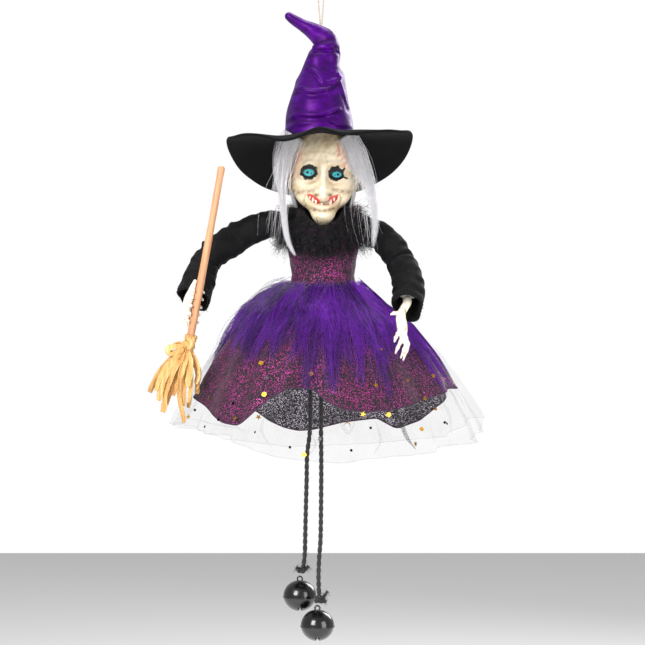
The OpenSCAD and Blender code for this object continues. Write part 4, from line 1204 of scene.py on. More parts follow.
def tulle():
    cols, rows = 460, 64
    surface = net_surface(cols, rows)
    piece = make("net_overskirt", surface, grid(rows, cols), NET, "figure", "tulle", ["skirt_tulle"])
    # The cut edge, and folds where the net lies double
    edge = surface[-1]
    v, f = tube(np.vstack([edge, edge[:1]]), 0.22, 5)
    make("net_edge", v, f, NET_THIN, "figure", "tulle")
    front = surface[:, cols // 2:]
    seen = looks_at(front)
    normal = np.cross(np.gradient(front, axis=0), np.gradient(front, axis=1))
    normal /= np.linalg.norm(normal, axis=-1, keepdims=True) + 1e-9
    normal *= np.sign((normal * [0, -1, 0]).sum(-1, keepdims=True))

    def on_net(x, z):
        i = np.unravel_index(np.argmin((seen[..., 0] - x) ** 2 + (seen[..., 1] - z) ** 2), seen.shape[:2])
        return front[i], normal[i]

    for n, (line, wide) in enumerate(NET_DOUBLES):
        path = curve(line, 10)
        points = np.array([on_net(x, z) for x, z in path])
        centre = points[:, 0] + points[:, 1] * 0.3
        for _ in range(4):
            centre[1:-1] = (centre[:-2] + centre[1:-1] * 2 + centre[2:]) / 4
        across = np.cross(headings(centre), points[:, 1])
        taper = np.sin(np.linspace(0.15, math.pi - 0.15, len(path)))[:, None]
        strip = np.stack([centre - across * wide * taper / 2, centre + across * wide * taper / 2], 1)
        make(f"net_fold_{n}", strip, grid(len(path), 2, wrap=False), NET_EDGE if n == 0 else NET_THIN,
             "figure", "tulle")
    for kind, spots in FOILS.items():
        look = {"gold": GOLD, "silver": SILVER_FOIL, "black": BLACK_FOIL}[kind.split("_")[0]]
        parts = []
        for k, (x, z) in enumerate(spots):
            at, up = on_net(x, z)
            parts.append(foil_piece(at + up * 0.35, up, kind, k))
        verts, faces = join(parts)
        make(f"foil_{kind}", verts, faces, look, "figure", "tulle", smooth=False)
    # The same scatter round the sides and back
    rng = np.random.default_rng(71)
    for kind, count in (("gold_dots", 10), ("gold_stars", 9), ("black_dots", 8)):
        look = BLACK_FOIL if kind.startswith("black") else GOLD
        parts = []
        for k in range(count):
            i, j = rng.integers(int(rows * 0.55), rows - 3), rng.integers(10, cols // 2 - 10)
            d1, d2 = surface[i + 1, j] - surface[i - 1, j], surface[i, j + 1] - surface[i, j - 1]
            up = np.cross(d2, d1)
            up /= np.linalg.norm(up)
            up *= np.sign(up[1]) or 1
            parts.append(foil_piece(surface[i, j] + up * 0.35, up, kind, k + 20))
        verts, faces = join(parts)
        make(f"foil_back_{kind}", verts, faces, look, "figure", "tulle", smooth=False)


def foil_piece(at, up, kind, k):
    """A thin foil shape lying on the net: a dot, a crescent, a star or a speck."""
    u = np.cross(up, [0.2, 0.1, 1.0])
    u /= np.linalg.norm(u)
    w = np.cross(up, u)
    turn = k * 1.7
    if "stars" in kind:
        a = np.arange(10) * TAU / 10 + turn
        r = np.where(np.arange(10) % 2, 0.95, 2.2)
        outline = np.stack([r * np.cos(a), r * np.sin(a)], 1)
    elif "moons" in kind:
        a = np.linspace(-2.1, 2.1, 12)
        outer = np.stack([2.1 * np.cos(a), 2.1 * np.sin(a)], 1)
        b = np.linspace(1.75, -1.75, 10)
        outline = np.vstack([outer, np.stack([1.0 + 1.75 * np.cos(b) - 1.3, 1.75 * np.sin(b)], 1)])
        outline = outline @ np.array([[math.cos(turn), -math.sin(turn)], [math.sin(turn), math.cos(turn)]])
    else:
        r = 1.0 if "specks" in kind or kind.startswith("black") else 1.75
        a = np.arange(14) * TAU / 14
        outline = np.stack([r * np.cos(a), r * np.sin(a)], 1)
    n = len(outline)
    flat = at + outline[:, :1] * u + outline[:, 1:] * w
    verts = np.vstack([flat, flat + up * 0.14])
    i = np.arange(n)
    j = (i + 1) % n
    walls = np.stack([i, j, n + j, n + i], 1)
    return verts, [walls, (n + i)[None], i[::-1][None]]


NET_DOUBLES = [([(54.4, -311.6), (59.5, -328.5), (69, -345.4)], 3.2),
               ([(16, -309), (13, -321), (20, -333), (25.7, -322)], 2.6),
               ([(-98, -322), (-74, -327), (-52, -331)], 1.6),
               ([(-40, -318), (-44, -330), (-36, -344)], 2.4),
               ([(84, -300), (94, -318), (96, -334)], 2.6), ([(-84, -296), (-92, -310), (-97, -322)], 2.4),
               ([(-8, -330), (-4, -342), (-10, -351)], 1.8), ([(40, -324), (44, -338), (38, -349)], 1.8),
               ([(70, -300), (78, -318), (84, -338)], 1.6), ([(-66, -312), (-64, -324), (-58, -333)], 1.6)]
# Foil shapes on the net, each by X and Z as it looks from the camera, in mm
FOILS = {"gold_dots": [(-43.73, -280.77), (-6.98, -289.59), (-41.89, -305.02), (49.24, -320.09),
                       (-12.49, -348.02)],
         "gold_moons": [(-81.58, -306.5), (19.84, -327.81)],
         "gold_stars": [(-62.48, -321.93), (-45.57, -321.19), (30.72, -320.09), (40.42, -296.94),
                        (76.22, -306.5), (82.32, -290.69), (69.09, -340.67)],
         "silver_stars": [(-39.69, -293.26), (-0.73, -337.37)],
         "gold_specks": [(44.1, -271.95), (63.95, -294.74), (90.11, -292.53)],
         "black_dots": [(-91.88, -316.05), (-85.26, -327.81), (-76.44, -323.4), (36.75, -329.28),
                        (90.41, -324.87), (-22.79, -342.51), (21.32, -345.45), (-65.41, -311.64)]}


def fur():
    rng = np.random.default_rng(81)
    # Dense root of the fur
    a = np.linspace(0, TAU, 120, endpoint=False)[None]
    z = np.linspace(-250, -224, 20)[:, None]
    w = np.interp(z, SKIRT_Z, SKIRT_W) * SKIRT_HALF
    bulge = 0.3 + 1.1 * np.sin(np.clip((z + 250) / 26, 0, 1) * math.pi)
    ring = lambda grow: np.stack([BODY_X + (w + 0.9 + grow) * np.cos(a),
                                  (DEPTH * w + 0.9 + grow) * np.sin(a), z + 0 * a], -1)
    outer = ring(bulge + 0.4 * wobble(ring(0), 9, 82, 2))
    both = np.concatenate([outer, ring(0.2 * np.ones_like(bulge))[::-1]])
    make("fur_root", both, grid(len(both), 120, closed=True), FUR_ROOT, "figure", "purple_fur",
         ["waist_fur"])
    tufts, each = 230, 46
    at = np.sort(rng.uniform(0, TAU, tufts))
    pick = rng.uniform(size=tufts)
    tip_z = np.where(pick < 0.45, rng.uniform(-260, -246, tufts), rng.uniform(-279, -258, tufts))
    tip_z = np.where(pick > 0.82, rng.uniform(-309, -279, tufts), tip_z)
    tip_z += 16 * np.abs(np.cos(at)) ** 4 * (tip_z < -262)
    root_z = rng.uniform(-240, -225, tufts)
    shade = rng.uniform(0.1, 0.9, tufts)
    k = np.repeat(np.arange(tufts), each)
    n = len(k)
    a0 = at[k] + rng.normal(0, 0.085, n)
    a1 = at[k] + rng.normal(0, 0.03, n) + rng.normal(0, 0.1, tufts)[k]
    z0 = root_z[k] + rng.normal(0, 2.2, n)
    z1 = tip_z[k] + rng.normal(0, 3.5, n)
    stray = rng.uniform(size=n) < 0.1
    a1 = np.where(stray, a1 + rng.normal(0, 0.16, n), a1)
    z1 = np.where(stray, z1 + rng.normal(0, 9, n), z1)
    loft = ((2.0 + 17 * np.maximum(0, -np.cos(a0)) ** 2 + 1.2 * rng.uniform(-1, 1, n))
            * rng.uniform(0.3, 1.1, n))
    wide = lambda h: np.interp(h, SKIRT_Z, SKIRT_W) * SKIRT_HALF
    r0, r1 = wide(z0) + 2.0, wide(z1) + 1.6 + rng.uniform(0, 1.6, n)
    mid_z = z0 * 0.4 + z1 * 0.6
    c = np.stack([np.stack([r0, z0], -1), np.stack([r0 + loft, z0 + 3 + loft * 0.12], -1),
                  np.stack([wide(mid_z) + 2.4 + loft * 0.5, mid_z], -1), np.stack([r1, z1], -1)], 1)
    t = np.linspace(0, 1, 11)[None, :, None]
    p = ((1 - t) ** 3 * c[:, :1] + 3 * (1 - t) ** 2 * t * c[:, 1:2] + 3 * (1 - t) * t * t * c[:, 2:3]
         + t ** 3 * c[:, 3:])
    t = t[..., 0]
    aa = (a0[:, None] * (1 - t ** 1.3) + a1[:, None] * t ** 1.3
          + 0.012 * np.sin(t * 9 + rng.uniform(0, TAU, (n, 1))) * t)
    base = wide(p[..., 1])
    r = np.maximum(p[..., 0], base + 2.7 + rng.uniform(0, 1.6, (n, 1)) + 1.2
                   * np.clip((-250 - p[..., 1]) / 60, 0, 1))
    shift = BODY_X + (SKIRT_MID - BODY_X) * np.clip((-228 - p[..., 1]) / 80, 0, 1)
    lines = np.stack([shift + r * np.cos(aa), (r - (1 - DEPTH) * base) * np.sin(aa), p[..., 1]], -1)
    strands("fur_tufts", lines, 0.17, FUR, np.clip(shade[k] + rng.normal(0, 0.22, n), 0, 1), body="figure",
            slot="purple_fur")


COLLAR_Z = [-206, -198, -190, -184, -178, -172, -166]
COLLAR_HALF = [26.5, 28, 28.5, 27.5, 25, 22.5, 20]
COLLAR_DEEP = [0.8, 0.8, 0.78, 0.74, 0.66, 0.6, 0.56]


def collar_at(a, s, grow):
    """A point of the ruff: s from its top edge, which rises beside the chin, to its lower edge."""
    front = np.maximum(0, -np.sin(a))
    low = -190 - 13 * front
    high = -167.5 - 13.5 * front ** 4
    z = high + (low - high) * s
    w = np.interp(z, COLLAR_Z, COLLAR_HALF)
    return np.stack([BODY_X + (w + grow) * np.cos(a),
                     (np.interp(z, COLLAR_Z, COLLAR_DEEP) * w + grow) * np.sin(a), z], -1)


def collar():
    rng = np.random.default_rng(91)
    cols, rows = 120, 20
    a = np.linspace(0, TAU, cols, endpoint=False)[None]
    s = np.linspace(0, 1, rows)[:, None]
    puff = -1.5 + 2.6 * np.sin(s * math.pi) + 0.7 * np.cos(14 * a + 3 * s)
    both = np.concatenate([collar_at(a, s, puff), collar_at(a, s, -4.0)[::-1]])
    make("collar_root", both, grid(len(both), cols, closed=True), COLLAR_ROOT, "figure", "eyelash_yarn",
         ["collar_trim"])
    n, pts = 6400, 9
    aa = rng.uniform(0, TAU, n)
    ss = rng.uniform(0, 1.0, n)
    root = collar_at(aa, ss, 0.4)
    front = np.maximum(0, -np.sin(aa))
    outward = np.stack([np.cos(aa), 0.75 * np.sin(aa), 0.5 * (1 - front) * (1 - ss) ** 2 - 0.75 * ss], -1)
    outward += rng.normal(0, 0.42, (n, 3))
    outward /= np.linalg.norm(outward, axis=1, keepdims=True)
    far = rng.uniform(3, 8, n) * (1 + 0.5 * np.cos(aa) ** 2)
    t = np.linspace(0, 1, pts)[None, :, None]
    curl_a, curl_b = rng.normal(size=(2, n, 1, 3))
    turns = rng.uniform(4, 10, (n, 1, 1))
    phase = rng.uniform(0, TAU, (n, 1, 1))
    lines = root[:, None] + outward[:, None] * far[:, None, None] * t
    lines = lines + (curl_a * np.sin(turns * t + phase) + curl_b * np.cos(turns * t + phase)) * t
    lines[..., 2] -= (far[:, None, None] * 0.3 * t ** 2)[..., 0]
    pink = rng.uniform(size=n) < 0.035
    tones = rng.uniform(0, 0.8, n) ** 1.6
    strands("collar_yarn", lines[~pink], 0.16, YARN, tones[~pink], body="figure", slot="eyelash_yarn")
    strands("collar_glints", lines[pink], 0.15, PINK_YARN, tones[pink], body="figure", slot="eyelash_yarn")
    # Loops of the yarn that stand out at the edge
    n, pts = 480, 16
    aa = rng.uniform(0, TAU, n)
    ss = rng.uniform(0.0, 1.0, n)
    root = collar_at(aa, ss, 1.0)
    outward = np.stack([np.cos(aa), 0.75 * np.sin(aa), rng.normal(-0.1, 0.5, n)], -1)
    outward /= np.linalg.norm(outward, axis=1, keepdims=True)
    across = np.cross(outward, rng.normal(size=(n, 3)))
    across /= np.linalg.norm(across, axis=1, keepdims=True)
    far = rng.uniform(4, 10, n)[:, None, None] * (1 + 0.4 * np.cos(aa) ** 2)[:, None, None]
    t = np.linspace(0, 1, pts)[None, :, None]
    lines = (root[:, None] + outward[:, None] * far * np.sin(t * math.pi)
             + across[:, None] * far * 0.35 * np.sin(t * TAU))
    lines += rng.normal(0, 0.8, (n, 1, 3)) * np.sin(t * 7)
    strands("collar_loops", lines, 0.19, YARN, rng.uniform(0, 0.6, n), body="figure", slot="eyelash_yarn")


HEM = plain("dark hem thread", srgb(30, 12, 30), srgb(74, 34, 70), 0.6, 900)
FUR_ROOT = plain("fur, matted", srgb(18, 2, 40), srgb(52, 12, 110), 0.8, 500)
COLLAR_ROOT = plain("yarn, matted", srgb(6, 5, 7), srgb(30, 26, 32), 0.8, 500)
bodice()
skirt()
tulle()
fur()
collar()


# ---------- Arms ----------

RIGHT_ARM = [[-22, 1, -177.5, 8.2], [-30, 0.5, -178.6, 9.2], [-39, 0, -180, 9.9], [-52, -1, -184.2, 10.8],
             [-65, -2.5, -191.4, 11.2], [-75, -4, -198.4, 10.8], [-83, -6, -206, 10.2],
             [-86.5, -9, -214, 11],
             [-89.8, -14, -223.5, 12], [-92.4, -20, -233.4, 12.2]]
LEFT_ARM = [[24, 0.5, -180, 8.2], [31, 0.3, -182.4, 9.4], [40, 0, -186, 9.8], [46, -2, -190.5, 10.4],
            [52, -4.5, -197.5, 10.8], [58.5, -10, -208.5, 10.8], [62.3, -20, -218, 11.2],
            [63.2, -30, -229, 11.8],
            [61.7, -39, -239, 11.4]]


def sleeve(side, stations, folds, seed, tail):
    """A soft stuffed sleeve whose cuff turns in, with creases where the arm bends."""
    line = curve(stations, 14)
    line = even(line, 0.8)
    path, radii = line[:, :3], line[:, 3].copy()
    u, v = side_vectors(path)
    cols = 96
    a = np.linspace(0, TAU, cols, endpoint=False)
    ring = u[:, None] * np.cos(a)[None, :, None] + v[:, None] * np.sin(a)[None, :, None]
    s = np.linspace(0, 1, len(path))
    base = path[:, None] + ring * radii[:, None, None]
    push = 0.5 * wobble(base, 16, seed, 2) + 0.12 * wobble(base, 6, seed + 1, 2)
    for at, slant, phase, deep, wide in folds:
        d = (s[:, None] - at - slant * np.sin(a + phase)[None]) / wide
        side_of = 0.35 + 0.65 * np.clip(np.cos(a + phase + 1.2), 0, 1)[None]
        push += side_of * deep * (1.0 * np.exp(-d ** 2) - 1.1 * np.exp(-(d - 1.7) ** 2))
    push *= np.clip(np.minimum(s / 0.04, 1), 0.2, 1)[:, None]
    outer = base + ring * push[..., None]
    # The cuff's far side hangs lower
    reach, toward, point = tail
    toward = np.asarray(toward, float) / np.linalg.norm(toward)
    lean = np.clip((ring[-1] @ toward), 0, 1) ** 1.5
    grow = fade(s, 0.82, 1.0)[:, None] * lean[None] * reach
    outer += (headings(path)[-1][None, None] * grow[..., None]
              + np.asarray(point)[None, None] * (grow / max(reach, 1))[..., None])
    outer += ring * (0.5 * np.sin(a * 5 + seed) * fade(s, 0.85, 1)[:, None])[..., None]
    lip = outer[-1]
    centre = lip.mean(0)
    back = headings(path)[-1]
    inner = [lip + (centre - lip) * 0.05 + back * 0.5, lip + (centre - lip) * 0.11 + back * 0.1,
             lip + (centre - lip) * 0.14 - back * 1.5]
    for step in (4, 8, 13, 16):
        row = outer[-1 - int(step / 0.8)]
        inner.append(row + (row.mean(0) - row) * 0.16)
    rows = np.concatenate([outer, np.array(inner)])
    n = len(rows) * cols
    verts = np.vstack([rows.reshape(-1, 3), path[0], inner[-1].mean(0)])
    ends = [fan(n, 0, cols, flip=True), fan(n + 1, n - cols, cols)]
    piece = make(f"{side}_sleeve", verts, [grid(len(rows), cols)] + ends, SLEEVE)
    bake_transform(piece)
    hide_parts(f"{side}_upper_sleeve", f"{side}_lower_sleeve")
    # Hem stitching round the cuff
    parts = []
    hem = outer[-1 - int(4 / 0.8)]
    for j in range(0, cols, 3):
        p, q = hem[j], hem[(j + 1) % cols]
        out = (p - hem.mean(0)) / np.linalg.norm(p - hem.mean(0)) * 0.25
        parts.append(tube(np.array([p + out * 0.4, (p + q) / 2 + out * 1.5, q + out * 0.4]), 0.16, 5))
    verts, faces = join(parts)
    make(f"{side}_cuff_stitches", verts, faces, CORD, f"{side}_forearm", "black_velvet")
    # Loose threads at the cuff
    rng = np.random.default_rng(seed + 5)
    pick = rng.integers(0, cols, 70)
    root = outer[-1][pick]
    out = root - centre
    out /= np.linalg.norm(out, axis=1, keepdims=True)
    t = np.linspace(0, 1, 4)[None, :, None]
    way = out * 0.3 + back + rng.normal(0, 0.45, (70, 3))
    lines = root[:, None] + way[:, None] * t * rng.uniform(0.6, 1.8, (70, 1, 1))
    strands(f"{side}_cuff_threads", lines, 0.07, YARN, rng.uniform(0, 0.5, 70), body=f"{side}_forearm",
            slot="black_velvet")


def sculpt(name, parts, voxel, smooth, look, **where):
    """The parts run together into one skin and smoothed."""
    verts, faces = join(parts)
    rough = make(name + "_rough", verts, faces, look)
    remesh = rough.modifiers.new("run together", "REMESH")
    remesh.mode = "VOXEL"
    remesh.voxel_size = voxel * MM
    soften = rough.modifiers.new("soften", "SMOOTH")
    soften.factor, soften.iterations = 0.5, smooth
    mesh = rough.evaluated_get(bpy.context.evaluated_depsgraph_get()).to_mesh()
    co = np.empty(len(mesh.vertices) * 3)
    mesh.vertices.foreach_get("co", co)
    co = co.reshape(-1, 3) / MM
    quads = np.array([list(p.vertices) for p in mesh.polygons if len(p.vertices) == 4])
    tris = [list(p.vertices) for p in mesh.polygons if len(p.vertices) == 3]
    out = [quads] + ([np.array(tris)] if tris else [])
    rough.to_mesh_clear()
    bpy.data.objects.remove(rough)
    return make(name, co, out, look, **where)


def finger(stations, knuckles):
    """A bony finger: thin between its swollen joints, tapering to a rounded tip."""
    line = curve(stations, 8)
    s = np.linspace(0, 1, len(line))
    swell = sum(0.28 * bump(s, k, 0.07) for k in knuckles)
    path, radii = rounded(line[:, :3], line[:, 3] * (0.86 + swell), 4)
    return tube(path, radii, 14)


def palm(stations, flat, turn):
    line = curve(stations, 7)
    path, radii = rounded(line[:, :3], line[:, 3], 5)
    d = headings(path)
    way = np.asarray(turn, float)
    u = way[None] - d * (d @ way)[:, None]
    u /= np.linalg.norm(u, axis=1, keepdims=True)
    return tube(path, radii, 20, flat=flat, across=(u, np.cross(d, u)))


def left_hand():
    parts = [palm([[62, -36, -235, 3.2], [61.6, -38, -238, 3.2], [59.2, -41.4, -242, 3.1],
                   [56.6, -44.2, -247, 3.2],
                   [57.5, -46.6, -252, 3.9], [58, -48.8, -257, 3.7], [58.4, -50.6, -261, 2.7]], 0.6,
                   (1, -0.15, 0)),
             finger([[57, -43.4, -246, 2.0], [54.6, -44.8, -245.2, 1.75], [52.4, -45.8, -245, 1.6],
                     [50.2, -46.6, -245.8, 1.2]],
                    [0.35, 0.75]),
             finger([[56.4, -49.2, -256.5, 1.8], [54.8, -50.6, -259.4, 1.6], [53.4, -51.6, -261.6, 1.5],
                     [52.8, -52, -263.4, 1.3], [52.2, -52.4, -265.3, 0.9]], [0.3, 0.62]),
             finger([[57.8, -50.2, -259.5, 1.8], [57.4, -51.4, -262.6, 1.6], [56.5, -52.4, -265.4, 1.55],
                     [54.6, -53.2, -269.2, 1.35], [52.8, -53.6, -273.4, 0.8]], [0.22, 0.5, 0.78]),
             finger([[58.6, -50.6, -260, 1.7], [58.7, -51.8, -263.2, 1.6], [60.2, -53, -266.8, 1.6],
                     [58.9, -54, -271, 1.35], [56.6, -54.6, -276.6, 0.8]], [0.22, 0.45, 0.74]),
             finger([[59.6, -50.4, -259.6, 1.7], [60.4, -52.4, -263.4, 1.55], [61.6, -53.8, -267.4, 1.5],
                     [60.4, -55, -272, 1.3], [58.2, -55.6, -278.2, 0.8]], [0.22, 0.45, 0.74])]
    # Tendons over the back of the hand
    for x0, x1 in ((56, 56), (57.6, 57.8), (59.2, 59.6)):
        parts.append(tube(curve([[x0 + 0.6, -43.6, -246, 0.5], [x0 + 0.8, -48.6, -252.4, 0.8],
                                 [x1, -51.6, -259.4, 0.8]], 6)[:, :3],
                          0.75, 8))
    sculpt("left_bony_hand", parts, 0.33, 5, PLASTIC, body="left_hand", slot="cream_plastic",
           nodes=["left_hand"])


# ---------- Broom ----------

BROOM_TOP, BROOM_END = np.array([-71.4, -33, -139.4]), np.array([-93.6, -33, -261.7])
BROOM_UP = (BROOM_TOP - BROOM_END) / np.linalg.norm(BROOM_TOP - BROOM_END)
BROOM_ACROSS = np.array([BROOM_UP[2], 0, -BROOM_UP[0]])


def by_broom(points):
    """Stations beside the broom: x across it, y behind it, z up it from its foot. More columns stay."""
    p = np.asarray(points, float)
    at = BROOM_END + p[:, :1] * BROOM_ACROSS + p[:, 1:2] * np.array([0, 1, 0]) + p[:, 2:3] * BROOM_UP
    return np.concatenate([at, p[:, 3:]], axis=1)


def right_hand():
    parts = [palm(by_broom([[-5.2, 13, 31, 3.0], [-5.8, 9.5, 26, 2.9], [-6.2, 5, 20, 2.7],
                            [-6.0, 1.5, 16, 2.4]]), 0.9, (1, 0, 0)),
             palm(by_broom([[-4.2, -0.6, 7.6, 1.1], [-5.2, -0.6, 9.6, 1.9], [-6.3, -0.5, 14, 2.9],
                            [-6.6, -0.5, 20, 3.2],
                            [-6.4, -0.5, 26, 3.2], [-5.4, -0.8, 31, 2.7], [-4.8, -1.4, 35, 2.1],
                            [-3.9, -2.2, 39.6, 1.3]]),
                  0.85, (1, 0, 0))]
    for z, r in ((10.5, 1.5), (16, 1.75), (21.6, 1.8), (27.4, 1.7), (32.6, 1.5)):
        parts.append(finger(by_broom([[-6.2, -1.8, z, r], [-4.9, -3.4, z + 0.5, r * 1.08],
                                      [-3.5, -3.9, z + 0.2, r * 0.8]]), [0.5]))
        parts.append(finger(by_broom([[-5.6, 1.6, z + 1.4, r], [-3.6, 3.8, z + 1.8, r],
                                      [-0.6, 4.8, z + 1.6, r * 0.92],
                                      [1.8, 4.7, z + 0.8, r * 0.85], [3.4, 3.6, z, r * 0.7]]),
                            [0.25, 0.6]))
    sculpt("right_bony_hand", parts, 0.33, 4, PLASTIC, body="right_forearm", slot="cream_plastic",
           nodes=["right_hand"])


def handle():
    long = float(np.linalg.norm(BROOM_TOP - BROOM_END))
    z = np.concatenate([np.linspace(-4, long - 2, 90), [long - 1, long - 0.3, long]])
    r = 2.6 + 0.14 * np.sin(z * 0.05) + 0.06 * np.sin(z * 0.21)
    r[-3:] *= [0.9, 0.72, 0.4]
    bend = 0.25 * np.sin(z / long * math.pi)
    path = by_broom(np.stack([bend, 0 * z, z], 1))
    cut = lambda s, a: 1 + 0.05 * np.cos(3 * a + 0.02 * s) + 0.02 * np.cos(7 * a + 0.1 * s)
    v, f = tube(path, r, 28, pattern=cut)
    make("whittled_handle", v, f, WOOD, "broom", "wood", ["broom_handle"])


def ribbon(points, width, rng, crinkle=0.7, curl=0.0):
    """A flat crinkled strip of raffia with a closed thin section."""
    line = even(curve(points, 8), 0.7)
    s = np.linspace(0, 1, len(line))
    d = headings(line)
    face = np.array([0.15, -1, 0.1]) + rng.normal(0, 0.35, 3)
    across = np.cross(d, face)
    across /= np.linalg.norm(across, axis=1, keepdims=True)
    up = np.cross(across, d)
    turn = curl * np.sin(s * math.pi * rng.uniform(0.8, 1.6) + rng.uniform(0, 3))
    a2 = across * np.cos(turn)[:, None] + up * np.sin(turn)[:, None]
    u2 = up * np.cos(turn)[:, None] - across * np.sin(turn)[:, None]
    w = width * (0.5 + 0.5 * np.minimum(1, s * 5)) * (1 + 0.22
                                                      * np.sin(s * rng.uniform(6, 11) + rng.uniform(0, 6)))
    w *= np.where(s > 0.93, 1 - (s - 0.93) * rng.uniform(1, 7), 1)
    cols = 9
    c = np.linspace(-0.5, 0.5, cols)
    groove = crinkle * (0.35 * np.cos(c * 19 + rng.uniform(0, 6)) + 0.5 * (c * 2) ** 2 * rng.choice([-1, 1]))
    sag = crinkle * 0.5 * np.sin(s * rng.uniform(12, 26) + rng.uniform(0, 6))
    mid = (line[:, None] + a2[:, None] * (w[:, None] * c[None])[..., None]
           + u2[:, None] * (groove[None] + sag[:, None])[..., None])
    top, low = mid + u2[:, None] * 0.16, mid - u2[:, None] * 0.16
    ring = np.concatenate([top, low[:, ::-1]], axis=1)
    n = 2 * cols
    faces = [grid(len(line), n)]
    first = np.array([[i, i + 1, n - 2 - i, n - 1 - i] for i in range(cols - 1)])[:, ::-1]
    last = first[:, ::-1] + (len(line) - 1) * n
    return ring.reshape(-1, 3), faces + [first, last]


# Ends of the strips beside the broom, with how wide each is and the way it bows out
STRIPS = [([-21.6, 1, -45], 4.6, -7), ([-20.4, 3, -41], 3.4, -6), ([-14.6, -3, -49.5], 5.4, -6),
          ([-13.2, 2, -46], 4.0, -5),
          ([-9.5, -4.5, -57], 5.2, -5), ([-8.6, 4, -52], 4.4, -3), ([-5, -3, -44], 4.8, -3),
          ([6.6, -5, -61.6], 4.2, -10),
          ([3.6, -3.6, -50], 5.0, -4), ([0.4, 4, -47], 5.0, 0), ([7.4, 2.6, -51], 2.8, 2),
          ([7.2, -3.4, -47], 2.6, 3),
          ([11.2, 0.4, -37], 4.4, 4), ([10.4, -2.4, -33], 4.4, 5), ([11.6, 3, -40], 3.4, 4),
          ([-2, -5.4, -40], 5.0, -1),
          ([4.6, -5.2, -36], 4.8, 2), ([-17.4, -1, -43], 3.2, -7), ([2, 5, -43], 4.2, 1),
          ([-11.6, -1.6, -44], 3.8, -5)]


def bristles():
    rng = np.random.default_rng(101)
    parts, tones = [], []
    for end, width, bow in STRIPS:
        e = np.array(end, float)
        start = np.array([rng.normal(0, 1.2), rng.normal(0, 1.2), -2.0])
        knee = np.array([e[0] * 0.2 + bow * 0.25, e[1] * 0.8 - 1.2, -13])
        belly = np.array([e[0] * 0.62 + bow * 0.55, e[1] * 1.2, e[2] * 0.62])
        points = by_broom([start, [start[0] * 1.2, start[1] * 1.6, -8], knee, belly, e])
        v, f = ribbon(points, width, rng, 0.75, 0.5)
        parts.append((v, f))
        tones.append(np.full(len(v), rng.uniform(0, 1)))
    verts, faces = join(parts)
    make("raffia_strips", verts, faces, RAFFIA, "broom", "raffia", ["broom_bristles"],
         tone=np.concatenate(tones))


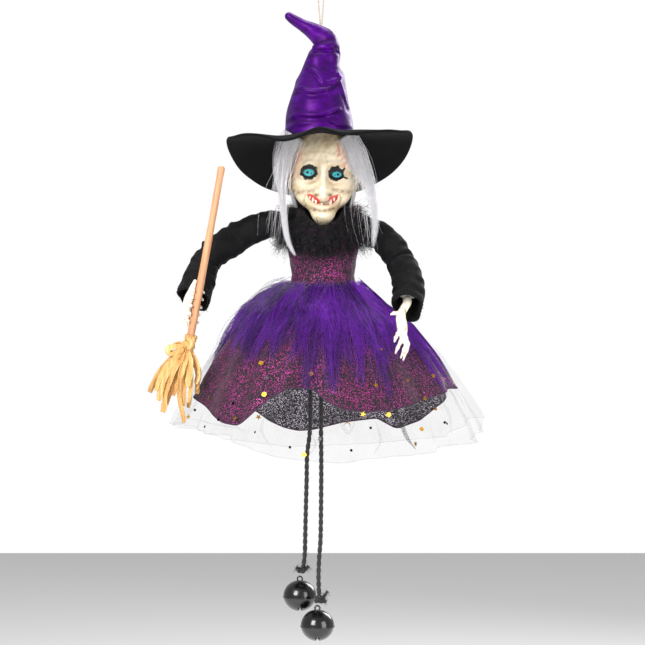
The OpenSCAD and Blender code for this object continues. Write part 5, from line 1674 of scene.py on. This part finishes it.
def binding():
    rng = np.random.default_rng(103)
    parts, tones = [], []
    for k in range(5):
        t = np.linspace(0, TAU * 1.15, 40) + k * 1.4
        z = -7.6 + k * 1.7 + 0.8 * np.sin(t * 0.5 + k)
        r = 3.5 + 0.5 * np.sin(t * 1.5 + k) + 0.25 * k * (4 - k) / 4
        points = by_broom(np.stack([r * np.cos(t), r * np.sin(t), z], 1))
        v, f = tube(points, 1.25 + 0.25 * math.sin(k * 2.1), 10, flat=0.75)
        parts.append((v, f))
        tones.append(np.full(len(v), rng.uniform(0, 0.7)))
    # The knot in front, its bow to the left and a short tail
    for points, r in (([[-1.5, -4.6, -1.5], [1.8, -5.4, -4.2], [0.6, -5.0, -8.2], [-2.6, -4.4, -6.4]], 1.6),
                      ([[1.8, -3.6, -0.6], [2.6, -4.6, -3.6], [1.2, -4.6, -6.8]], 1.5)):
        v, f = tube(by_broom(curve(points, 8)), r, 12, flat=0.8)
        parts.append((v, f))
        tones.append(np.full(len(v), 0.3))
    for points, w in (([[-2.5, -3.4, -6], [-6.4, -4.4, -8.2], [-11.6, -4.6, -9.6], [-14.2, -4.4, -12.2],
                        [-12.4, -4, -15],
                        [-8, -3.4, -13], [-3.6, -3.4, -8.6]], 3.6),
                      ([[-2.4, -3, -7], [-6, -3.4, -11], [-10.5, -2.6, -13.5], [-13, -2, -11.4],
                        [-9, -2, -7.6], [-3, -2.4, -6]], 3.2),
                      ([[-1, -4.8, -6.6], [-3, -5.6, -12], [-5.6, -5.8, -17.5]], 3.2)):
        v, f = ribbon(by_broom(points), w, rng, 0.6, 0.3)
        parts.append((v, f))
        tones.append(np.full(len(v), rng.uniform(0, 0.6)))
    verts, faces = join(parts)
    make("raffia_binding", verts, faces, RAFFIA, "broom", "raffia", ["broom_binding"],
         tone=np.concatenate(tones))


sleeve("right", RIGHT_ARM, [(0.2, 0.02, 0.5, 0.6, 0.02), (0.42, 0.03, 2.4, 0.7, 0.02),
                            (0.58, 0.03, 0.6, 1.0, 0.018),
                            (0.65, 0.03, 1.2, 1.2, 0.018), (0.72, 0.02, 0.2, 0.8, 0.018),
                            (0.86, 0.02, 3, 0.7, 0.02)], 111,
       (3.0, (0.5, 0.6, -0.4), (0.6, 0, -0.6)))
sleeve("left", LEFT_ARM, [(0.25, 0.02, 2.0, 0.7, 0.022), (0.42, 0.03, 3.4, 0.9, 0.02),
                          (0.52, 0.03, 3.8, 1.1, 0.02),
                          (0.6, 0.02, 3.2, 0.9, 0.02), (0.76, 0.03, 1.4, 0.9, 0.022),
                          (0.88, 0.02, 2.2, 0.7, 0.02)], 121,
       (6.0, (0.5, 0.75, -0.45), (-0.9, 1.6, -1.0)))
left_hand()
right_hand()
handle()
bristles()
binding()


# ---------- Pieces that keep their CAD shape ----------

KEPT = {ENAMEL: ["right_bell_loop", "right_bell_top", "right_bell_bottom", "left_bell_loop", "left_bell_top",
                 "left_bell_bottom"],
        STEEL: ["right_bell_pellet", "left_bell_pellet", "right_upper_wire", "right_lower_wire",
                "left_upper_wire",
                "left_lower_wire"],
        FILLING: ["hat_stuffing", "torso_filling", "right_upper_stuffing", "right_lower_stuffing",
                  "left_upper_stuffing",
                  "left_lower_stuffing"],
        ELASTIC: ["waist_band"], WOOD: ["neck_dowel"], CORD: ["hip_knot"]}


def keep_cad():
    for look, nodes in KEPT.items():
        for node in nodes:
            piece = bpy.data.objects[node]
            piece.data.materials.clear()
            piece.data.materials.append(look)


keep_cad()
